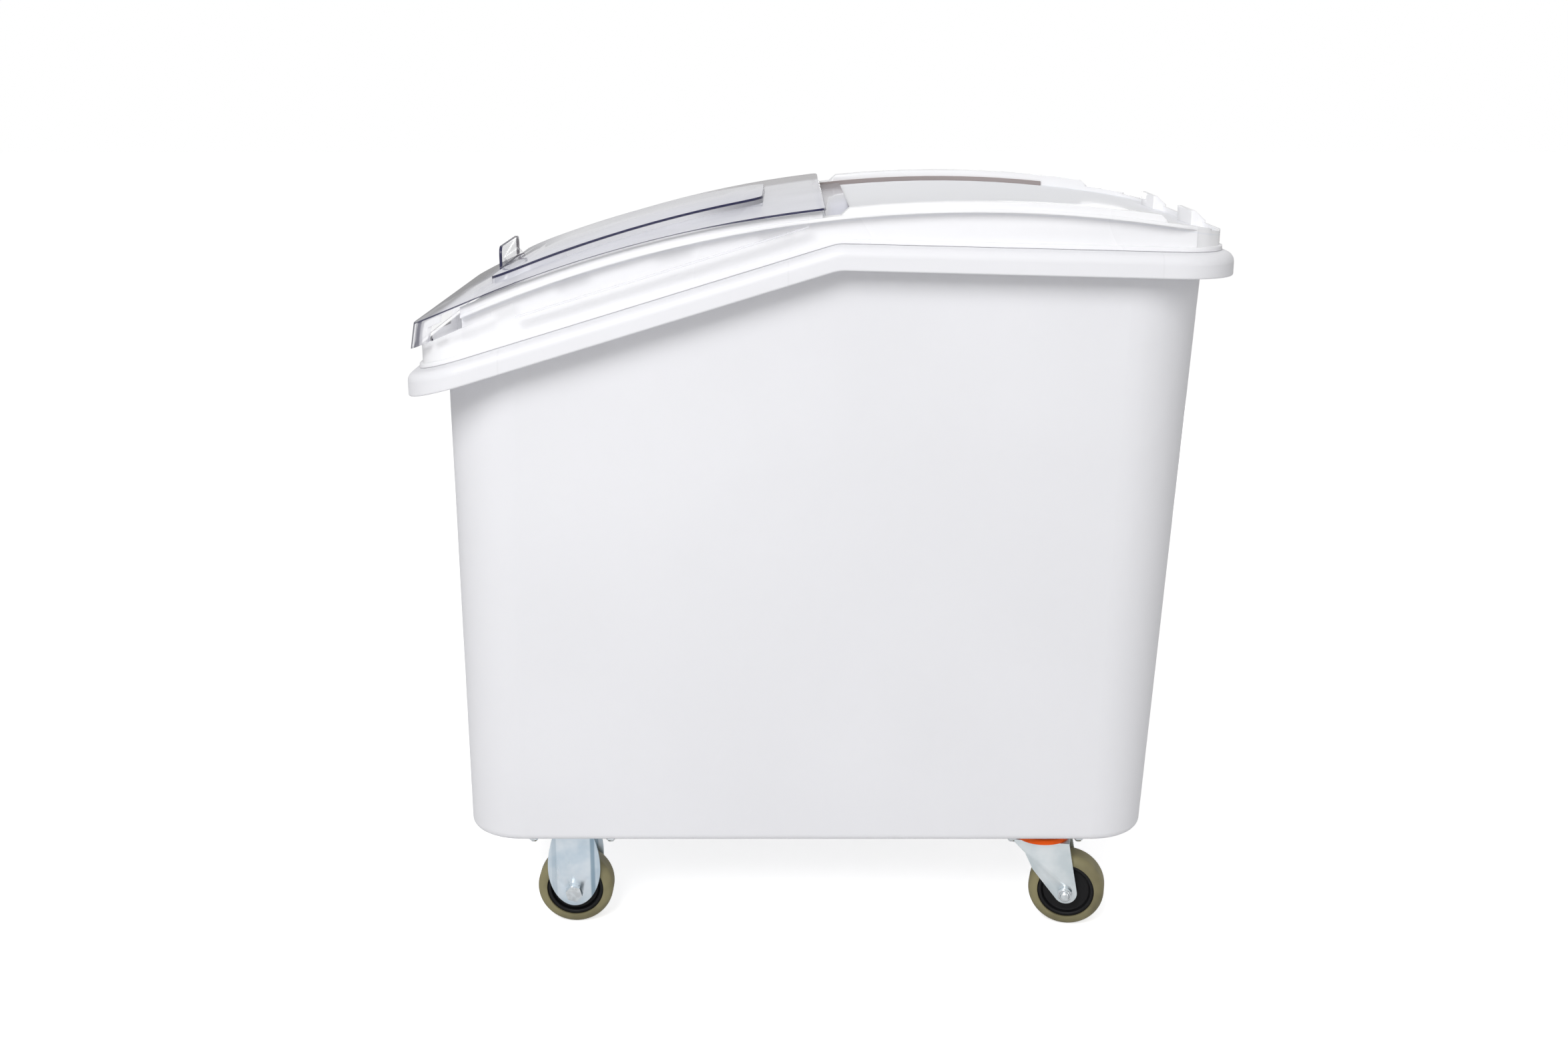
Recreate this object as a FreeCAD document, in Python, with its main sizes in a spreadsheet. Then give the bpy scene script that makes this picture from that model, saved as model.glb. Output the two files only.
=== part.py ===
import FreeCAD, Part
import math
import os
import re
import Sketcher
from FreeCAD import Placement, Rotation, Vector

# Mobile slant-top ingredient bin. Frame: +Z up, -X front (slanted, clear lid), +X rear, origin on the floor
# at the centre of the footprint. All sizes are millimetres.
#
# The rails, the deck and the clear lid are all arcs about one line along Y, the slide centre, so that the
# clear lid slides back over the deck by turning about that line. Their heights are radii from it.

SIZES = [
    # tub
    ("floor_z", 101.6, "underside of the tub above the floor"),
    ("tub_wall", 4, "wall of the tub"),
    ("tub_floor", 4.5, "floor of the tub"),
    ("front_overhang", 32.5, "rim ahead of the front wall's underside"),
    ("rear_overhang", 49, "rim behind the rear wall's underside"),
    ("side_overhang", 44.3, "rim beyond the side walls' underside"),
    ("tub_corner", 55, "plan corner radius at the underside"),
    ("front_draft", 0.26, "draft of the front wall, degrees"),
    ("rear_draft", 2.97, "draft of the rear wall, degrees"),
    ("side_draft", 2.05, "draft of the side walls, degrees"),
    ("tub_bottom_round", 7, "fillet round the underside"),
    # rolled rim
    ("rim_length", 749, "over the rim, front to rear"),
    ("rim_width", 500, "over the rim, side to side"),
    ("rim_corner", 60, "plan corner radius of the rim"),
    ("rim_drop", 20.8, "height of the rolled rim"),
    ("rim_shell", 4, "wall of the rolled rim"),
    ("rim_top_round", 9, "rounding of the rim's top edge"),
    ("rim_foot_round", 1.5, "rounding of the rim's bottom edge"),
    ("kink_x", 18, "where the rim bends"),
    ("kink_z", 662.2, "underside of the rim at the bend"),
    ("front_slope", 17.0, "fall of the rim towards the front, degrees"),
    ("rear_slope", 1.45, "fall of the rim towards the rear, degrees"),
    ("kink_round", 35, "radius of the bend"),
    # slide centre and the arcs about it
    ("arc_x", 140, "slide centre along X"),
    ("arc_z", -462, "slide centre along Z"),
    ("deck_radius", 1175.5, "top of the side flanges"),
    ("deck_sink", 5, "rear deck between the rails below the flanges"),
    ("deck_wall", 3, "thickness of deck and flanges"),
    ("rail_height", 6, "raised rail above the flanges"),
    # lid base
    ("seat_gap", 0.3, "lid base above the rim"),
    ("base_wall", 3.5, "wall of the lid base"),
    ("base_front_inset", 11.5, "front wall of the lid base inside the rim"),
    ("base_rear_inset", 8.5, "rear wall of the lid base inside the rim"),
    ("base_side_inset", 29, "side walls of the lid base inside the rim"),
    ("base_front_corner", 45, "plan corner radius at the front"),
    ("base_rear_corner", 62, "plan corner radius at the rear"),
    ("foot_reach", 4, "foot flange beyond the walls"),
    ("foot_height", 4, "thickness of the foot flange"),
    ("foot_rear_corner", 45, "plan corner radius of the foot flange at the rear"),
    ("lip_depth", 10, "locating lip below the rim's top"),
    ("lip_wall", 2.5, "wall of the locating lip"),
    ("lip_gap", 1.5, "locating lip to the tub's inner wall"),
    ("flange_reach", 8, "side flange beyond the walls"),
    ("sill_radius", 1163.9, "top of the front wall, below the sliding lip"),
    ("block_length", 31, "corner block behind the side recess"),
    ("deck_front", -48, "front edge of the rear deck"),
    ("deck_hem", 8, "hem hanging from the deck's front edge"),
    ("hem_inset", 53, "hem inside the side walls, clear of the clear lid's rounded corners"),
    ("rail_width", 17.5, "width of the raised rails"),
    ("rail_inset", 2.5, "raised rails inside the flanges' edge"),
    ("rail_front", 20, "front end of the raised rails"),
    ("rail_rear_inset", 57, "rear end of the raised rails ahead of the rear wall"),
    ("rail_end_round", 5, "plan rounding of the rail ends"),
    ("rail_end_slope", 8, "length of the rails' sloping ends"),
    ("rail_edge_round", 1.5, "rounding of the rails' top edges"),
    ("runner_width", 3, "runners on the side flanges, which carry the clear lid, side to side"),
    ("runner_back", 4, "rear end of the runners"),
    ("stop_inset", 14, "front face of the stop wedges ahead of the rear wall"),
    ("stop_length", 13.5, "stop wedges front to rear"),
    ("stop_width", 60, "stop wedges side to side"),
    ("stop_height", 8.5, "stop wedges above the flanges"),
    ("stop_pitch", 176, "between the stop wedges' centres"),
    # glide strips
    ("strip_height", 4.5, "glide strip above the sunk deck"),
    ("strip_width", 2.5, "glide strip side to side"),
    ("strip_front", -46, "front end of the glide strips"),
    ("strip_rear_inset", 110, "rear end of the glide strips ahead of the rear wall"),
    # clear lid
    ("clear_wall", 2.5, "wall of the clear lid"),
    ("slide_gap", 0.3, "clear lid above the raised rails"),
    ("clear_front_inset", 0.5, "bottom of the lip behind the rim's front"),
    ("clear_rake", 4, "set-back of the lip from bottom to top"),
    ("clear_back", 7, "rear edge of the clear plate"),
    ("clear_side_gap", 0.6, "side skirts beyond the flanges"),
    ("clear_front_corner", 60, "plan corner radius at the front"),
    ("clear_back_corner", 8, "plan corner radius at the rear"),
    ("clear_edge_round", 1.2, "rounding of the plate's outer edge"),
    ("skirt_depth", 20, "lip and shallow skirt below the plate's top"),
    ("notch_setback", 84, "front end of the notch in the skirt behind the lip"),
    ("notch_length", 22, "notch front to rear"),
    ("notch_rise", 4, "notch above the shallow skirt"),
    ("deep_front", 29.6, "deep skirt below the plate's top, at the notch"),
    ("deep_back", 15.6, "deep skirt below the plate's top, at its rear end"),
    ("skirt_back", -8, "rear end of the side skirts"),
    ("bead_height", 2, "bead along the deep skirt"),
    ("bead_reach", 1, "bead beyond the skirt"),
    ("hook_reach", 7, "hooks under the flanges, inward"),
    ("hook_wall", 2, "thickness of the hooks"),
    ("hook_gap", 0.55, "hooks below the flanges"),
    ("hook_length", 30, "hooks front to rear"),
    ("hook_pitch", 90, "between the hooks"),
    ("hook_setback", 154, "centre of the front hook behind the lip"),
    ("lip_clearance", 0.6, "slot of the lip round the base's side walls"),
    ("panel_setback", 68, "front edge of the raised panel behind the lip"),
    ("panel_back", -50, "rear edge of the raised panel"),
    ("panel_front_half", 148, "half width of the panel at its front"),
    ("panel_back_half", 92, "half width of the panel at its rear"),
    ("panel_height", 6.5, "raised panel above the plate"),
    ("panel_corner", 24, "plan corner radius of the panel"),
    ("panel_edge_round", 1.2, "rounding of the panel's top edge"),
    ("tab_width", 114, "handle tab side to side"),
    ("tab_height", 27.5, "handle tab above the panel's front edge"),
    ("tab_corner", 8, "rounded top corners of the tab"),
    ("gusset_length", 12, "gussets behind the tab"),
    ("gusset_wall", 2, "thickness of the gussets"),
    ("tongue_back", 31, "rear edge of the tongue"),
    ("tongue_inset", 23, "tongue inside the side walls"),
    ("tongue_gap", 0.5, "tongue above the sunk deck"),
    # casters
    ("wheel_radius", 37.5, "outer radius of the tyre"),
    ("tread_width", 30, "width of the tyre"),
    ("tread_round", 8, "shoulder of the tyre"),
    ("hub_radius", 28, "outer radius of the hub"),
    ("ring_width", 27, "width of the hub's outer ring"),
    ("ring_wall", 4, "hub's outer ring, radially"),
    ("web_width", 18, "width of the hub's web"),
    ("boss_radius", 11, "hub's central boss"),
    ("boss_side_gap", 0.8, "boss to each fork leg"),
    ("sleeve_radius", 6, "outer radius of the axle sleeve"),
    ("bolt_radius", 4, "axle bolt"),
    ("bolt_gap", 0.1, "radial clearance round the bolts"),
    ("run_gap", 0.06, "radial running clearance of hubs and kingpins"),
    ("head_radius", 8.6, "axle bolt head, over the corners"),
    ("head_height", 8, "axle bolt head"),
    ("hex_radius", 7.5, "axle nut, over the corners"),
    ("nut_height", 8, "axle nut"),
    ("bolt_end", 2.5, "axle bolt beyond its nut"),
    ("fork_inside", 33, "between the fork legs"),
    ("leg_wall", 2.5, "fork leg thickness"),
    ("caster_side_inset", 40.7, "centre plane of the casters inside the side walls' underside"),
    ("plate_wall", 2.5, "caster top plate thickness"),
    ("plate_width", 60, "caster top plate side to side"),
    ("hole_half_width", 22, "mounting holes from the centre, side to side"),
    # rigid front casters
    ("front_axle_inset", 103, "front axles behind the front wall's underside"),
    ("front_plate_length", 92, "front top plate front to rear"),
    ("front_hole_half", 38, "front mounting holes from the centre"),
    ("front_leg_half", 26, "front leg half width at its widest"),
    ("front_leg_wide_z", 62, "height of the front leg's widest place"),
    ("front_leg_top_half", 18.5, "front leg half width at the plate"),
    ("front_leg_end", 16, "front leg below the axle"),
    # swivel rear casters
    ("swivel_inset", 97.5, "swivel axes ahead of the rear wall's underside"),
    ("swivel_yaw", 12, "swivels turned at rest, degrees"),
    ("trail", 26.5, "wheel axle behind the swivel axis"),
    ("rear_plate_length", 80, "rear top plate front to rear"),
    ("rear_hole_half", 33, "rear mounting holes from the centre"),
    ("crown_top_z", 90.5, "top of the fork crown"),
    ("crown_wall", 3, "thickness of the fork crown"),
    ("crown_front", 26.5, "fork crown ahead of the swivel axis"),
    ("crown_back", 28.6, "fork crown behind the swivel axis"),
    ("leg_shoulder_drop", 13.5, "front shoulder of the leg below the crown"),
    ("leg_shoulder_x", 14.5, "front shoulder ahead of the swivel axis"),
    ("leg_waist_drop", 30.5, "waist of the leg below the crown"),
    ("leg_waist_x", 6.5, "waist ahead of the swivel axis"),
    ("rear_leg_end", 11.5, "rear leg end radius about the axle"),
    ("race_radius", 23.5, "outer radius of the upper race"),
    ("ball_radius", 2.5, "race balls"),
    ("ball_path", 18, "radius of the ring of balls"),
    ("ball_gap", 0.1, "balls to each race"),
    ("pin_radius", 6, "kingpin shank"),
    ("pin_head_radius", 9, "kingpin's heads"),
    ("pin_head_height", 3, "kingpin's upper head"),
    ("pin_foot_height", 4, "kingpin's lower head"),
    ("dust_ring_radius", 27.5, "outer radius of the dust ring"),
    ("dust_ring_wall", 3.4, "wall of the dust ring"),
    ("dust_ring_height", 5.6, "height of the dust ring"),
    # mounting bolts
    ("mount_radius", 3, "mounting bolt shank"),
    ("mount_hole_gap", 0.2, "radial clearance of the mounting holes"),
    ("mount_head_radius", 7, "mounting bolt head inside the tub"),
    ("mount_head_height", 3.5, "mounting bolt head inside the tub"),
    ("mount_nut_radius", 5.8, "mounting nut over the corners"),
    ("mount_nut_height", 3, "hexagon of the mounting nut"),
    ("mount_cap_height", 2.5, "cap of the mounting nut"),
]
# what fits against another piece takes its place from that piece's sizes
FITS = {
    "tub_front": "rim_length / 2 - front_overhang",
    "tub_rear": "rim_length / 2 - rear_overhang",
    "tub_half_width": "rim_width / 2 - side_overhang",
    "base_front": "rim_length / 2 - base_front_inset",
    "base_rear": "rim_length / 2 - base_rear_inset",
    "base_half_width": "rim_width / 2 - base_side_inset",
    "flange_front": "base_front - base_front_corner",
    "block_x": "base_rear - block_length",
    "hem_half_width": "base_half_width - hem_inset",
    "rail_outer": "base_half_width + flange_reach - rail_inset",
    "rail_inner": "rail_outer - rail_width",
    "rail_back": "base_rear - rail_rear_inset",
    "runner_inner": "rail_outer - runner_width",
    "sunk_radius": "deck_radius - deck_sink",
    "stop_front": "base_rear - stop_inset",
    "strip_back": "base_rear - strip_rear_inset",
    "clear_front": "rim_length / 2 - clear_front_inset",
    "notch_front": "notch_setback - clear_front",
    "notch_back": "notch_front + notch_length",
    "hook_first": "hook_setback - clear_front",
    "panel_front": "panel_setback - clear_front",
    "tongue_half_width": "base_half_width - tongue_inset",
    "caster_half_track": "tub_half_width - caster_side_inset",
    "front_axle_x": "tub_front - front_axle_inset",
    "swivel_x": "tub_rear - swivel_inset",
}
BALLS = 14
HOOKS = 3
SKY_Z = 900  # above everything

os.makedirs("parts", exist_ok=True)
doc = FreeCAD.newDocument("ingredient_bin")
sheet = doc.addObject("Spreadsheet::Sheet", "sizes")
for row, (alias, value, note) in enumerate(SIZES, start=1):
    sheet.set("A%d" % row, alias)
    sheet.set("B%d" % row, str(value))
    sheet.set("C%d" % row, note)
    sheet.setAlias("B%d" % row, alias)
doc.recompute()
ALIASES = {alias for alias, value, note in SIZES}
nodes = {}


def link(text):
    """Turns 'wheel_radius - 1' into an expression on the sheet's cells, with the fits spelled out."""
    def cell(match):
        word = match[0]
        if word in FITS:
            return "(%s)" % link(FITS[word])
        return "sizes." + word if word in ALIASES else word
    return re.sub(r"[a-z]\w+", cell, text)


def value_of(text):
    result = sheet.evalExpression(link(text))
    return float(getattr(result, "Value", result))


class SheetReader:
    """Reads a size of the sheet, or a fit worked out from several, by its name."""

    def __getattr__(self, name):
        return value_of(name)


d = SheetReader()


def bind(item, **texts):
    for path, text in texts.items():
        item.setExpression(path.replace("__", "."), link(text))
    return item


def node(item, label):
    item.Label = label
    nodes[label] = item
    return item


def feature(label, shape):
    """A sub-part whose solid is worked out here from the sheet's sizes."""
    item = doc.addObject("Part::Feature", label)
    item.Shape = shape
    item.Placement = Placement()
    return node(item, label)


# ---------------------------------------------------------------- outlines and prisms

def rounded_wire(points, radii, lift):
    """Closed outline through points, each corner rounded by its radius; lift maps (u, v) to space."""
    edges = []
    count = len(points)
    joints = []
    for i, (point, radius) in enumerate(zip(points, radii)):
        here = Vector(point[0], point[1], 0)
        before = Vector(*points[i - 1], 0) - here
        after = Vector(*points[(i + 1) % count], 0) - here
        if radius <= 0:
            joints.append((here, here, here))
            continue
        half = before.getAngle(after) / 2
        reach = radius / math.tan(half)
        middle = before.normalize() + after.normalize()
        centre = here + middle.normalize() * (radius / math.sin(half))
        joints.append((here + before * reach, centre + (here - centre).normalize() * radius,
                       here + after * reach))
    for i, (start, mid, end) in enumerate(joints):
        if (end - start).Length > 1e-6:
            edges.append(Part.Arc(lift(start), lift(mid), lift(end)).toShape())
        following = joints[(i + 1) % count][0]
        if (following - end).Length > 1e-6:
            edges.append(Part.makeLine(lift(end), lift(following)))
    return Part.Wire(Part.__sortEdges__(edges))


def plan_wire(front, rear, half, front_radius, rear_radius, z):
    corners = [(front, -half), (rear, -half), (rear, half), (front, half)]
    radii = [front_radius, rear_radius, rear_radius, front_radius]
    return rounded_wire(corners, radii, lambda p: Vector(p.x, p.y, z))


def plan_prism(front, rear, half, front_radius, rear_radius=None, low=None, high=SKY_Z):
    rear_radius = front_radius if rear_radius is None else rear_radius
    low = d.floor_z if low is None else low
    wire = plan_wire(front, rear, half, front_radius, rear_radius, low)
    return Part.Face(wire).extrude(Vector(0, 0, high - low))


def slab(edges, low_y, high_y):
    """Extrudes a closed XZ outline, drawn at Y = 0, from low_y to high_y."""
    face = Part.Face(Part.Wire(Part.__sortEdges__(edges)))
    face.translate(Vector(0, low_y, 0))
    return face.extrude(Vector(0, high_y - low_y, 0))


def block(low_x, high_x, low_y, high_y, low_z=0, high_z=SKY_Z):
    return Part.makeBox(high_x - low_x, high_y - low_y, high_z - low_z, Vector(low_x, low_y, low_z))


def both_sides(shape):
    """The shape and its mirror image across the middle plane."""
    return shape.fuse(shape.mirror(Vector(0, 0, 0), Vector(0, 1, 0)))


# ---------------------------------------------------------------- the kinked rim line and the slide arcs

def kink_line(rise):
    """Edges of the rim line in XZ, raised by rise, with its ends beyond the rim."""
    reach = d.rim_length
    front_tan = math.tan(math.radians(d.front_slope))
    rear_tan = math.tan(math.radians(d.rear_slope))
    top = Vector(d.kink_x, 0, d.kink_z + rise)
    front = Vector(-reach, 0, top.z - (reach + d.kink_x) * front_tan)
    rear = Vector(reach, 0, top.z - (reach - d.kink_x) * rear_tan)
    turn = math.radians(d.front_slope + d.rear_slope)
    run = d.kink_round * math.tan(turn / 2)
    start = top + (front - top).normalize() * run
    end = top + (rear - top).normalize() * run
    sag = d.kink_round * (1 / math.cos(turn / 2) - 1)
    tilt = math.radians(d.front_slope - d.rear_slope) / 2
    middle = top - Vector(-math.sin(tilt), 0, math.cos(tilt)) * sag
    arc = Part.Arc(start, middle, end).toShape()
    return [Part.makeLine(front, start), arc, Part.makeLine(end, rear)]


def kink_z(x, rise=0):
    """Height of the rim line at x, without the rounding of the bend."""
    slope = d.front_slope if x < d.kink_x else d.rear_slope
    return d.kink_z + rise - abs(x - d.kink_x) * math.tan(math.radians(slope))


def ends(edges):
    points = [vertex.Point for edge in edges for vertex in edge.Vertexes]
    return min(points, key=lambda p: p.x), max(points, key=lambda p: p.x)


def between(lower, upper, half):
    """Slab between two open XZ lines, from -half to half along Y."""
    low_front, low_rear = ends(lower)
    high_front, high_rear = ends(upper)
    closing = [Part.makeLine(low_front, high_front), Part.makeLine(low_rear, high_rear)]
    return slab(lower + upper + closing, -half, half)


def level(z):
    return [Part.makeLine(Vector(-d.rim_length, 0, z), Vector(d.rim_length, 0, z))]


def kink_slab(low_rise, high_rise):
    """Everything between two copies of the rim line."""
    upper = level(SKY_Z) if high_rise is None else kink_line(high_rise)
    lower = level(0) if low_rise is None else kink_line(low_rise)
    return between(lower, upper, d.rim_width)


def arc_z(radius, x):
    return d.arc_z + math.sqrt(radius ** 2 - (x - d.arc_x) ** 2)


def arc_point(radius, x):
    return Vector(x, 0, arc_z(radius, x))


def arc_edge(radius, front, rear):
    middle = (front + rear) / 2
    return Part.Arc(arc_point(radius, front), arc_point(radius, middle), arc_point(radius, rear)).toShape()


def arc_band(low, high, front, rear, low_y, high_y):
    """Curved bar between two radii about the slide centre."""
    edges = [arc_edge(low, front, rear), arc_edge(high, front, rear)]
    edges += [Part.makeLine(arc_point(low, x), arc_point(high, x)) for x in (front, rear)]
    return slab(edges, low_y, high_y)


def under_arc(radius, front, rear, half):
    """Everything below an arc about the slide centre, down to the floor."""
    edges = [arc_edge(radius, front, rear), Part.makeLine(Vector(front, 0, 0), Vector(rear, 0, 0))]
    edges += [Part.makeLine(Vector(x, 0, 0), arc_point(radius, x)) for x in (front, rear)]
    return slab(edges, -half, half)


def edges_where(shape, test):
    """Edges all of whose sampled points pass the test."""
    picked = []
    for edge in shape.Edges:
        if all(test(point) for point in edge.discretize(5)):
            picked.append(edge)
    return picked


# ---------------------------------------------------------------- tub

def tub_outline(z, inset):
    """Rounded rectangle of the drafted walls at height z, moved in by inset."""
    rise = z - d.floor_z
    side_grow = rise * math.tan(math.radians(d.side_draft))
    front = -(d.tub_front + rise * math.tan(math.radians(d.front_draft)) - inset)
    rear = d.tub_rear + rise * math.tan(math.radians(d.rear_draft)) - inset
    corner = d.tub_corner + side_grow - inset
    return front, rear, d.tub_half_width + side_grow - inset, corner


def tub_core(inset, low_z, round_radius):
    """Drafted block inside the walls' outline, rounded round its underside."""
    wires = []
    for z in (low_z, d.kink_z + 2 * d.rim_drop):
        front, rear, half, corner = tub_outline(z, inset)
        wires.append(plan_wire(front, rear, half, corner, corner, z))
    core = Part.makeLoft(wires, True, True)
    return core.makeFillet(round_radius, edges_where(core, lambda p: abs(p.z - low_z) < 0.01))


def rolled_rim():
    """Rim block with rounded outer edges, hollow below between skirt and wall, closed inside."""
    half_length = d.rim_length / 2
    half_width = d.rim_width / 2
    solid = plan_prism(-half_length, half_length, half_width, d.rim_corner).common(kink_slab(0, d.rim_drop))

    def outer(p):
        flat = min(half_length - abs(p.x), half_width - abs(p.y)) < 0.01
        corner = Vector(abs(p.x) - half_length + d.rim_corner, abs(p.y) - half_width + d.rim_corner, 0)
        return flat or (min(corner.x, corner.y) > 0 and abs(corner.Length - d.rim_corner) < 0.05)

    def height(p):
        return p.z - kink_z(p.x)

    middle = d.rim_drop / 2
    top = edges_where(solid, lambda p: outer(p) and height(p) > middle)
    solid = solid.makeFillet(d.rim_top_round, [e for e in top if spans(e, height, d.rim_drop)])
    foot = edges_where(solid, lambda p: outer(p) and height(p) < middle)
    solid = solid.makeFillet(d.rim_foot_round, [e for e in foot if spans(e, height, 0)])
    shell = d.rim_shell
    hollow = plan_prism(-half_length + shell, half_length - shell, half_width - shell, d.rim_corner - shell)
    return solid.cut(hollow.common(kink_slab(-d.rim_drop, d.rim_drop - shell)))


def spans(edge, height, value):
    """True for an edge that follows the rim line, apart from the rounding of its bend."""
    slack = d.kink_round * 0.02 + 0.01
    return all(abs(height(p) - value) < slack for p in edge.discretize(5))


def mount_points():
    """Plan positions of the sixteen mounting bolts."""
    patterns = ((-d.front_axle_x, d.front_hole_half), (d.swivel_x, d.rear_hole_half))
    for centre_x, half_x in patterns:
        for side in (-1, 1):
            for dx in (-half_x, half_x):
                for dy in (-d.hole_half_width, d.hole_half_width):
                    yield centre_x + dx, side * d.caster_half_track + dy


def make_tub():
    floor_top = d.floor_z + d.tub_floor
    body = tub_core(0, d.floor_z, d.tub_bottom_round).common(kink_slab(None, d.rim_drop))
    body = body.fuse(rolled_rim())
    body = body.cut(tub_core(d.tub_wall, floor_top, d.tub_bottom_round))
    hole_radius = d.mount_radius + d.mount_hole_gap
    for x, y in mount_points():
        body = body.cut(Part.makeCylinder(hole_radius, 3 * d.tub_floor, Vector(x, y, d.floor_z - d.tub_floor)))
    return feature("tub", body.removeSplitter())


# ---------------------------------------------------------------- lid base

def base_walls(seat, outer_half):
    """Side, front and rear walls: full height behind the flange front, cut to the sill ahead of it."""
    wall = d.base_wall
    outer = plan_prism(-d.base_front, d.base_rear, d.base_half_width, d.base_front_corner, d.block_length)
    inner = plan_prism(-d.base_front + wall, d.base_rear - wall, d.base_half_width - wall,
                       d.base_front_corner - wall, d.block_length - wall)
    ring = outer.cut(inner).cut(block(d.block_x, d.rim_length, -d.rim_width, d.rim_width))
    wide = plan_prism(-d.base_front, d.base_rear, outer_half, d.base_front_corner, d.base_rear_corner)
    wide = wide.cut(plan_prism(-d.base_front, d.base_rear - wall, outer_half - wall, d.base_front_corner,
                               d.base_rear_corner - wall))
    wide = wide.common(block(d.block_x, d.rim_length, -d.rim_width, d.rim_width))
    ring = ring.fuse(wide)
    tall = under_arc(d.deck_radius - d.deck_wall / 2, -d.flange_front, d.rim_length / 2, d.rim_width)
    low = under_arc(d.sill_radius, -d.rim_length / 2, -d.flange_front, d.rim_width)
    return ring.common(tall.fuse(low)).common(kink_slab(seat, None))


def base_foot(seat):
    """Foot flange that rests on the rim, with the locating lip inside the tub."""
    gap = d.lip_gap + d.tub_wall
    front, rear, half, corner = tub_outline(kink_z(-d.tub_front), gap)
    rear = tub_outline(kink_z(d.tub_rear), gap)[1]
    reach = d.foot_reach
    outer = plan_prism(-d.base_front - reach + 1, d.base_rear, d.base_half_width + reach,
                       d.base_front_corner + reach, d.foot_rear_corner)
    lip_outer = plan_prism(front, rear, half, corner)
    lip_inner = plan_prism(front + d.lip_wall, rear - d.lip_wall, half - d.lip_wall, corner - d.lip_wall)
    foot = outer.cut(lip_inner).common(kink_slab(seat, seat + d.foot_height))
    lip = lip_outer.cut(lip_inner).common(kink_slab(seat - d.lip_depth, seat + d.foot_height))
    return foot.fuse(lip)


def base_rails():
    """Raised rails with rounded ends and edges, one each side of the deck."""
    top = d.deck_radius + d.rail_height
    corners = [(d.rail_front, d.rail_inner), (d.rail_back, d.rail_inner),
               (d.rail_back, d.rail_outer), (d.rail_front, d.rail_outer)]
    wire = rounded_wire(corners, [d.rail_end_round] * 4, lambda p: Vector(p.x, p.y, d.floor_z))
    bar = Part.Face(wire).extrude(Vector(0, 0, SKY_Z))
    foot = d.deck_radius - d.deck_wall / 2
    front, back, slope = d.rail_front, d.rail_back, d.rail_end_slope
    front_points = [arc_point(top, front + slope), arc_point(d.deck_radius, front), arc_point(foot, front)]
    back_points = [arc_point(top, back - slope), arc_point(d.deck_radius, back), arc_point(foot, back)]
    edges = [arc_edge(foot, front, back), arc_edge(top, front + slope, back - slope)]
    for points in (front_points, back_points):
        edges += [Part.makeLine(a, b) for a, b in zip(points, points[1:])]
    bar = bar.common(slab(edges, d.rail_inner - 1, d.rail_outer + 1))

    def on_top(p):
        return abs(math.hypot(p.x - d.arc_x, p.z - d.arc_z) - top) < 0.01

    return both_sides(bar.makeFillet(d.rail_edge_round, edges_where(bar, on_top)))


def base_stops():
    """Two wedges that stop the tongue at the rear: upright in front, sloping behind."""
    front, rear = d.stop_front, d.stop_front + d.stop_length
    foot_radius = d.sunk_radius - d.deck_wall / 2
    low_front, low_rear = arc_point(foot_radius, front), arc_point(foot_radius, rear)
    crest_front = arc_point(d.deck_radius + d.stop_height, front)
    crest_rear = crest_front + Vector(d.stop_length / 4, 0, 0)
    heel = arc_point(d.deck_radius + d.stop_height / 4, rear)
    outline = [low_front, crest_front, crest_rear, heel, low_rear, low_front]
    edges = [Part.makeLine(a, b) for a, b in zip(outline, outline[1:])]
    low_y = d.stop_pitch / 2 - d.stop_width / 2
    return both_sides(slab(edges, low_y, low_y + d.stop_width))


def make_lid_base():
    seat = d.rim_drop + d.seat_gap
    outer_half = d.base_half_width + d.flange_reach
    low = d.deck_radius - d.deck_wall
    deck_plan = plan_prism(d.deck_front, d.base_rear, outer_half, 0, d.base_rear_corner)
    deck = deck_plan.common(arc_band(low, d.deck_radius, d.deck_front, d.base_rear, -outer_half, outer_half))
    sunk_rear = d.base_rear - d.base_wall
    pan_half, sunk_low = d.rail_inner + d.deck_wall, d.sunk_radius - d.deck_wall
    pan = arc_band(sunk_low, d.deck_radius, d.deck_front, sunk_rear + 1, -pan_half, pan_half)
    hollow = arc_band(d.sunk_radius, d.deck_radius + 1, d.deck_front - 1, sunk_rear, -d.rail_inner, d.rail_inner)
    room = plan_prism(-d.base_front, d.base_rear, outer_half, d.base_front_corner, d.base_rear_corner)
    deck = deck.fuse(pan.common(room)).cut(hollow)
    inner_half = d.base_half_width - d.base_wall
    flange = arc_band(low, d.deck_radius, -d.flange_front, d.deck_front + 1, inner_half, outer_half)
    runner = arc_band(d.deck_radius - d.deck_wall / 2, d.deck_radius + d.rail_height, -d.flange_front,
                      d.runner_back, d.runner_inner, d.rail_outer)
    hem_half = d.hem_half_width
    hem = arc_band(sunk_low - d.deck_hem, sunk_low, d.deck_front, d.deck_front + d.deck_wall, -hem_half, hem_half)
    pieces = [base_foot(seat), deck, both_sides(flange), both_sides(runner), hem, base_rails(), base_stops()]
    return feature("lid_base", base_walls(seat, outer_half).fuse(pieces).removeSplitter())


def make_glide_strips():
    high_y = d.rail_inner
    strip = arc_band(d.sunk_radius, d.sunk_radius + d.strip_height, d.strip_front, d.strip_back,
                     high_y - d.strip_width, high_y)
    mirrored = strip.mirror(Vector(0, 0, 0), Vector(0, 1, 0))
    return feature("glide_strips", Part.makeCompound([strip, mirrored]))


# ---------------------------------------------------------------- clear lid

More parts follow.
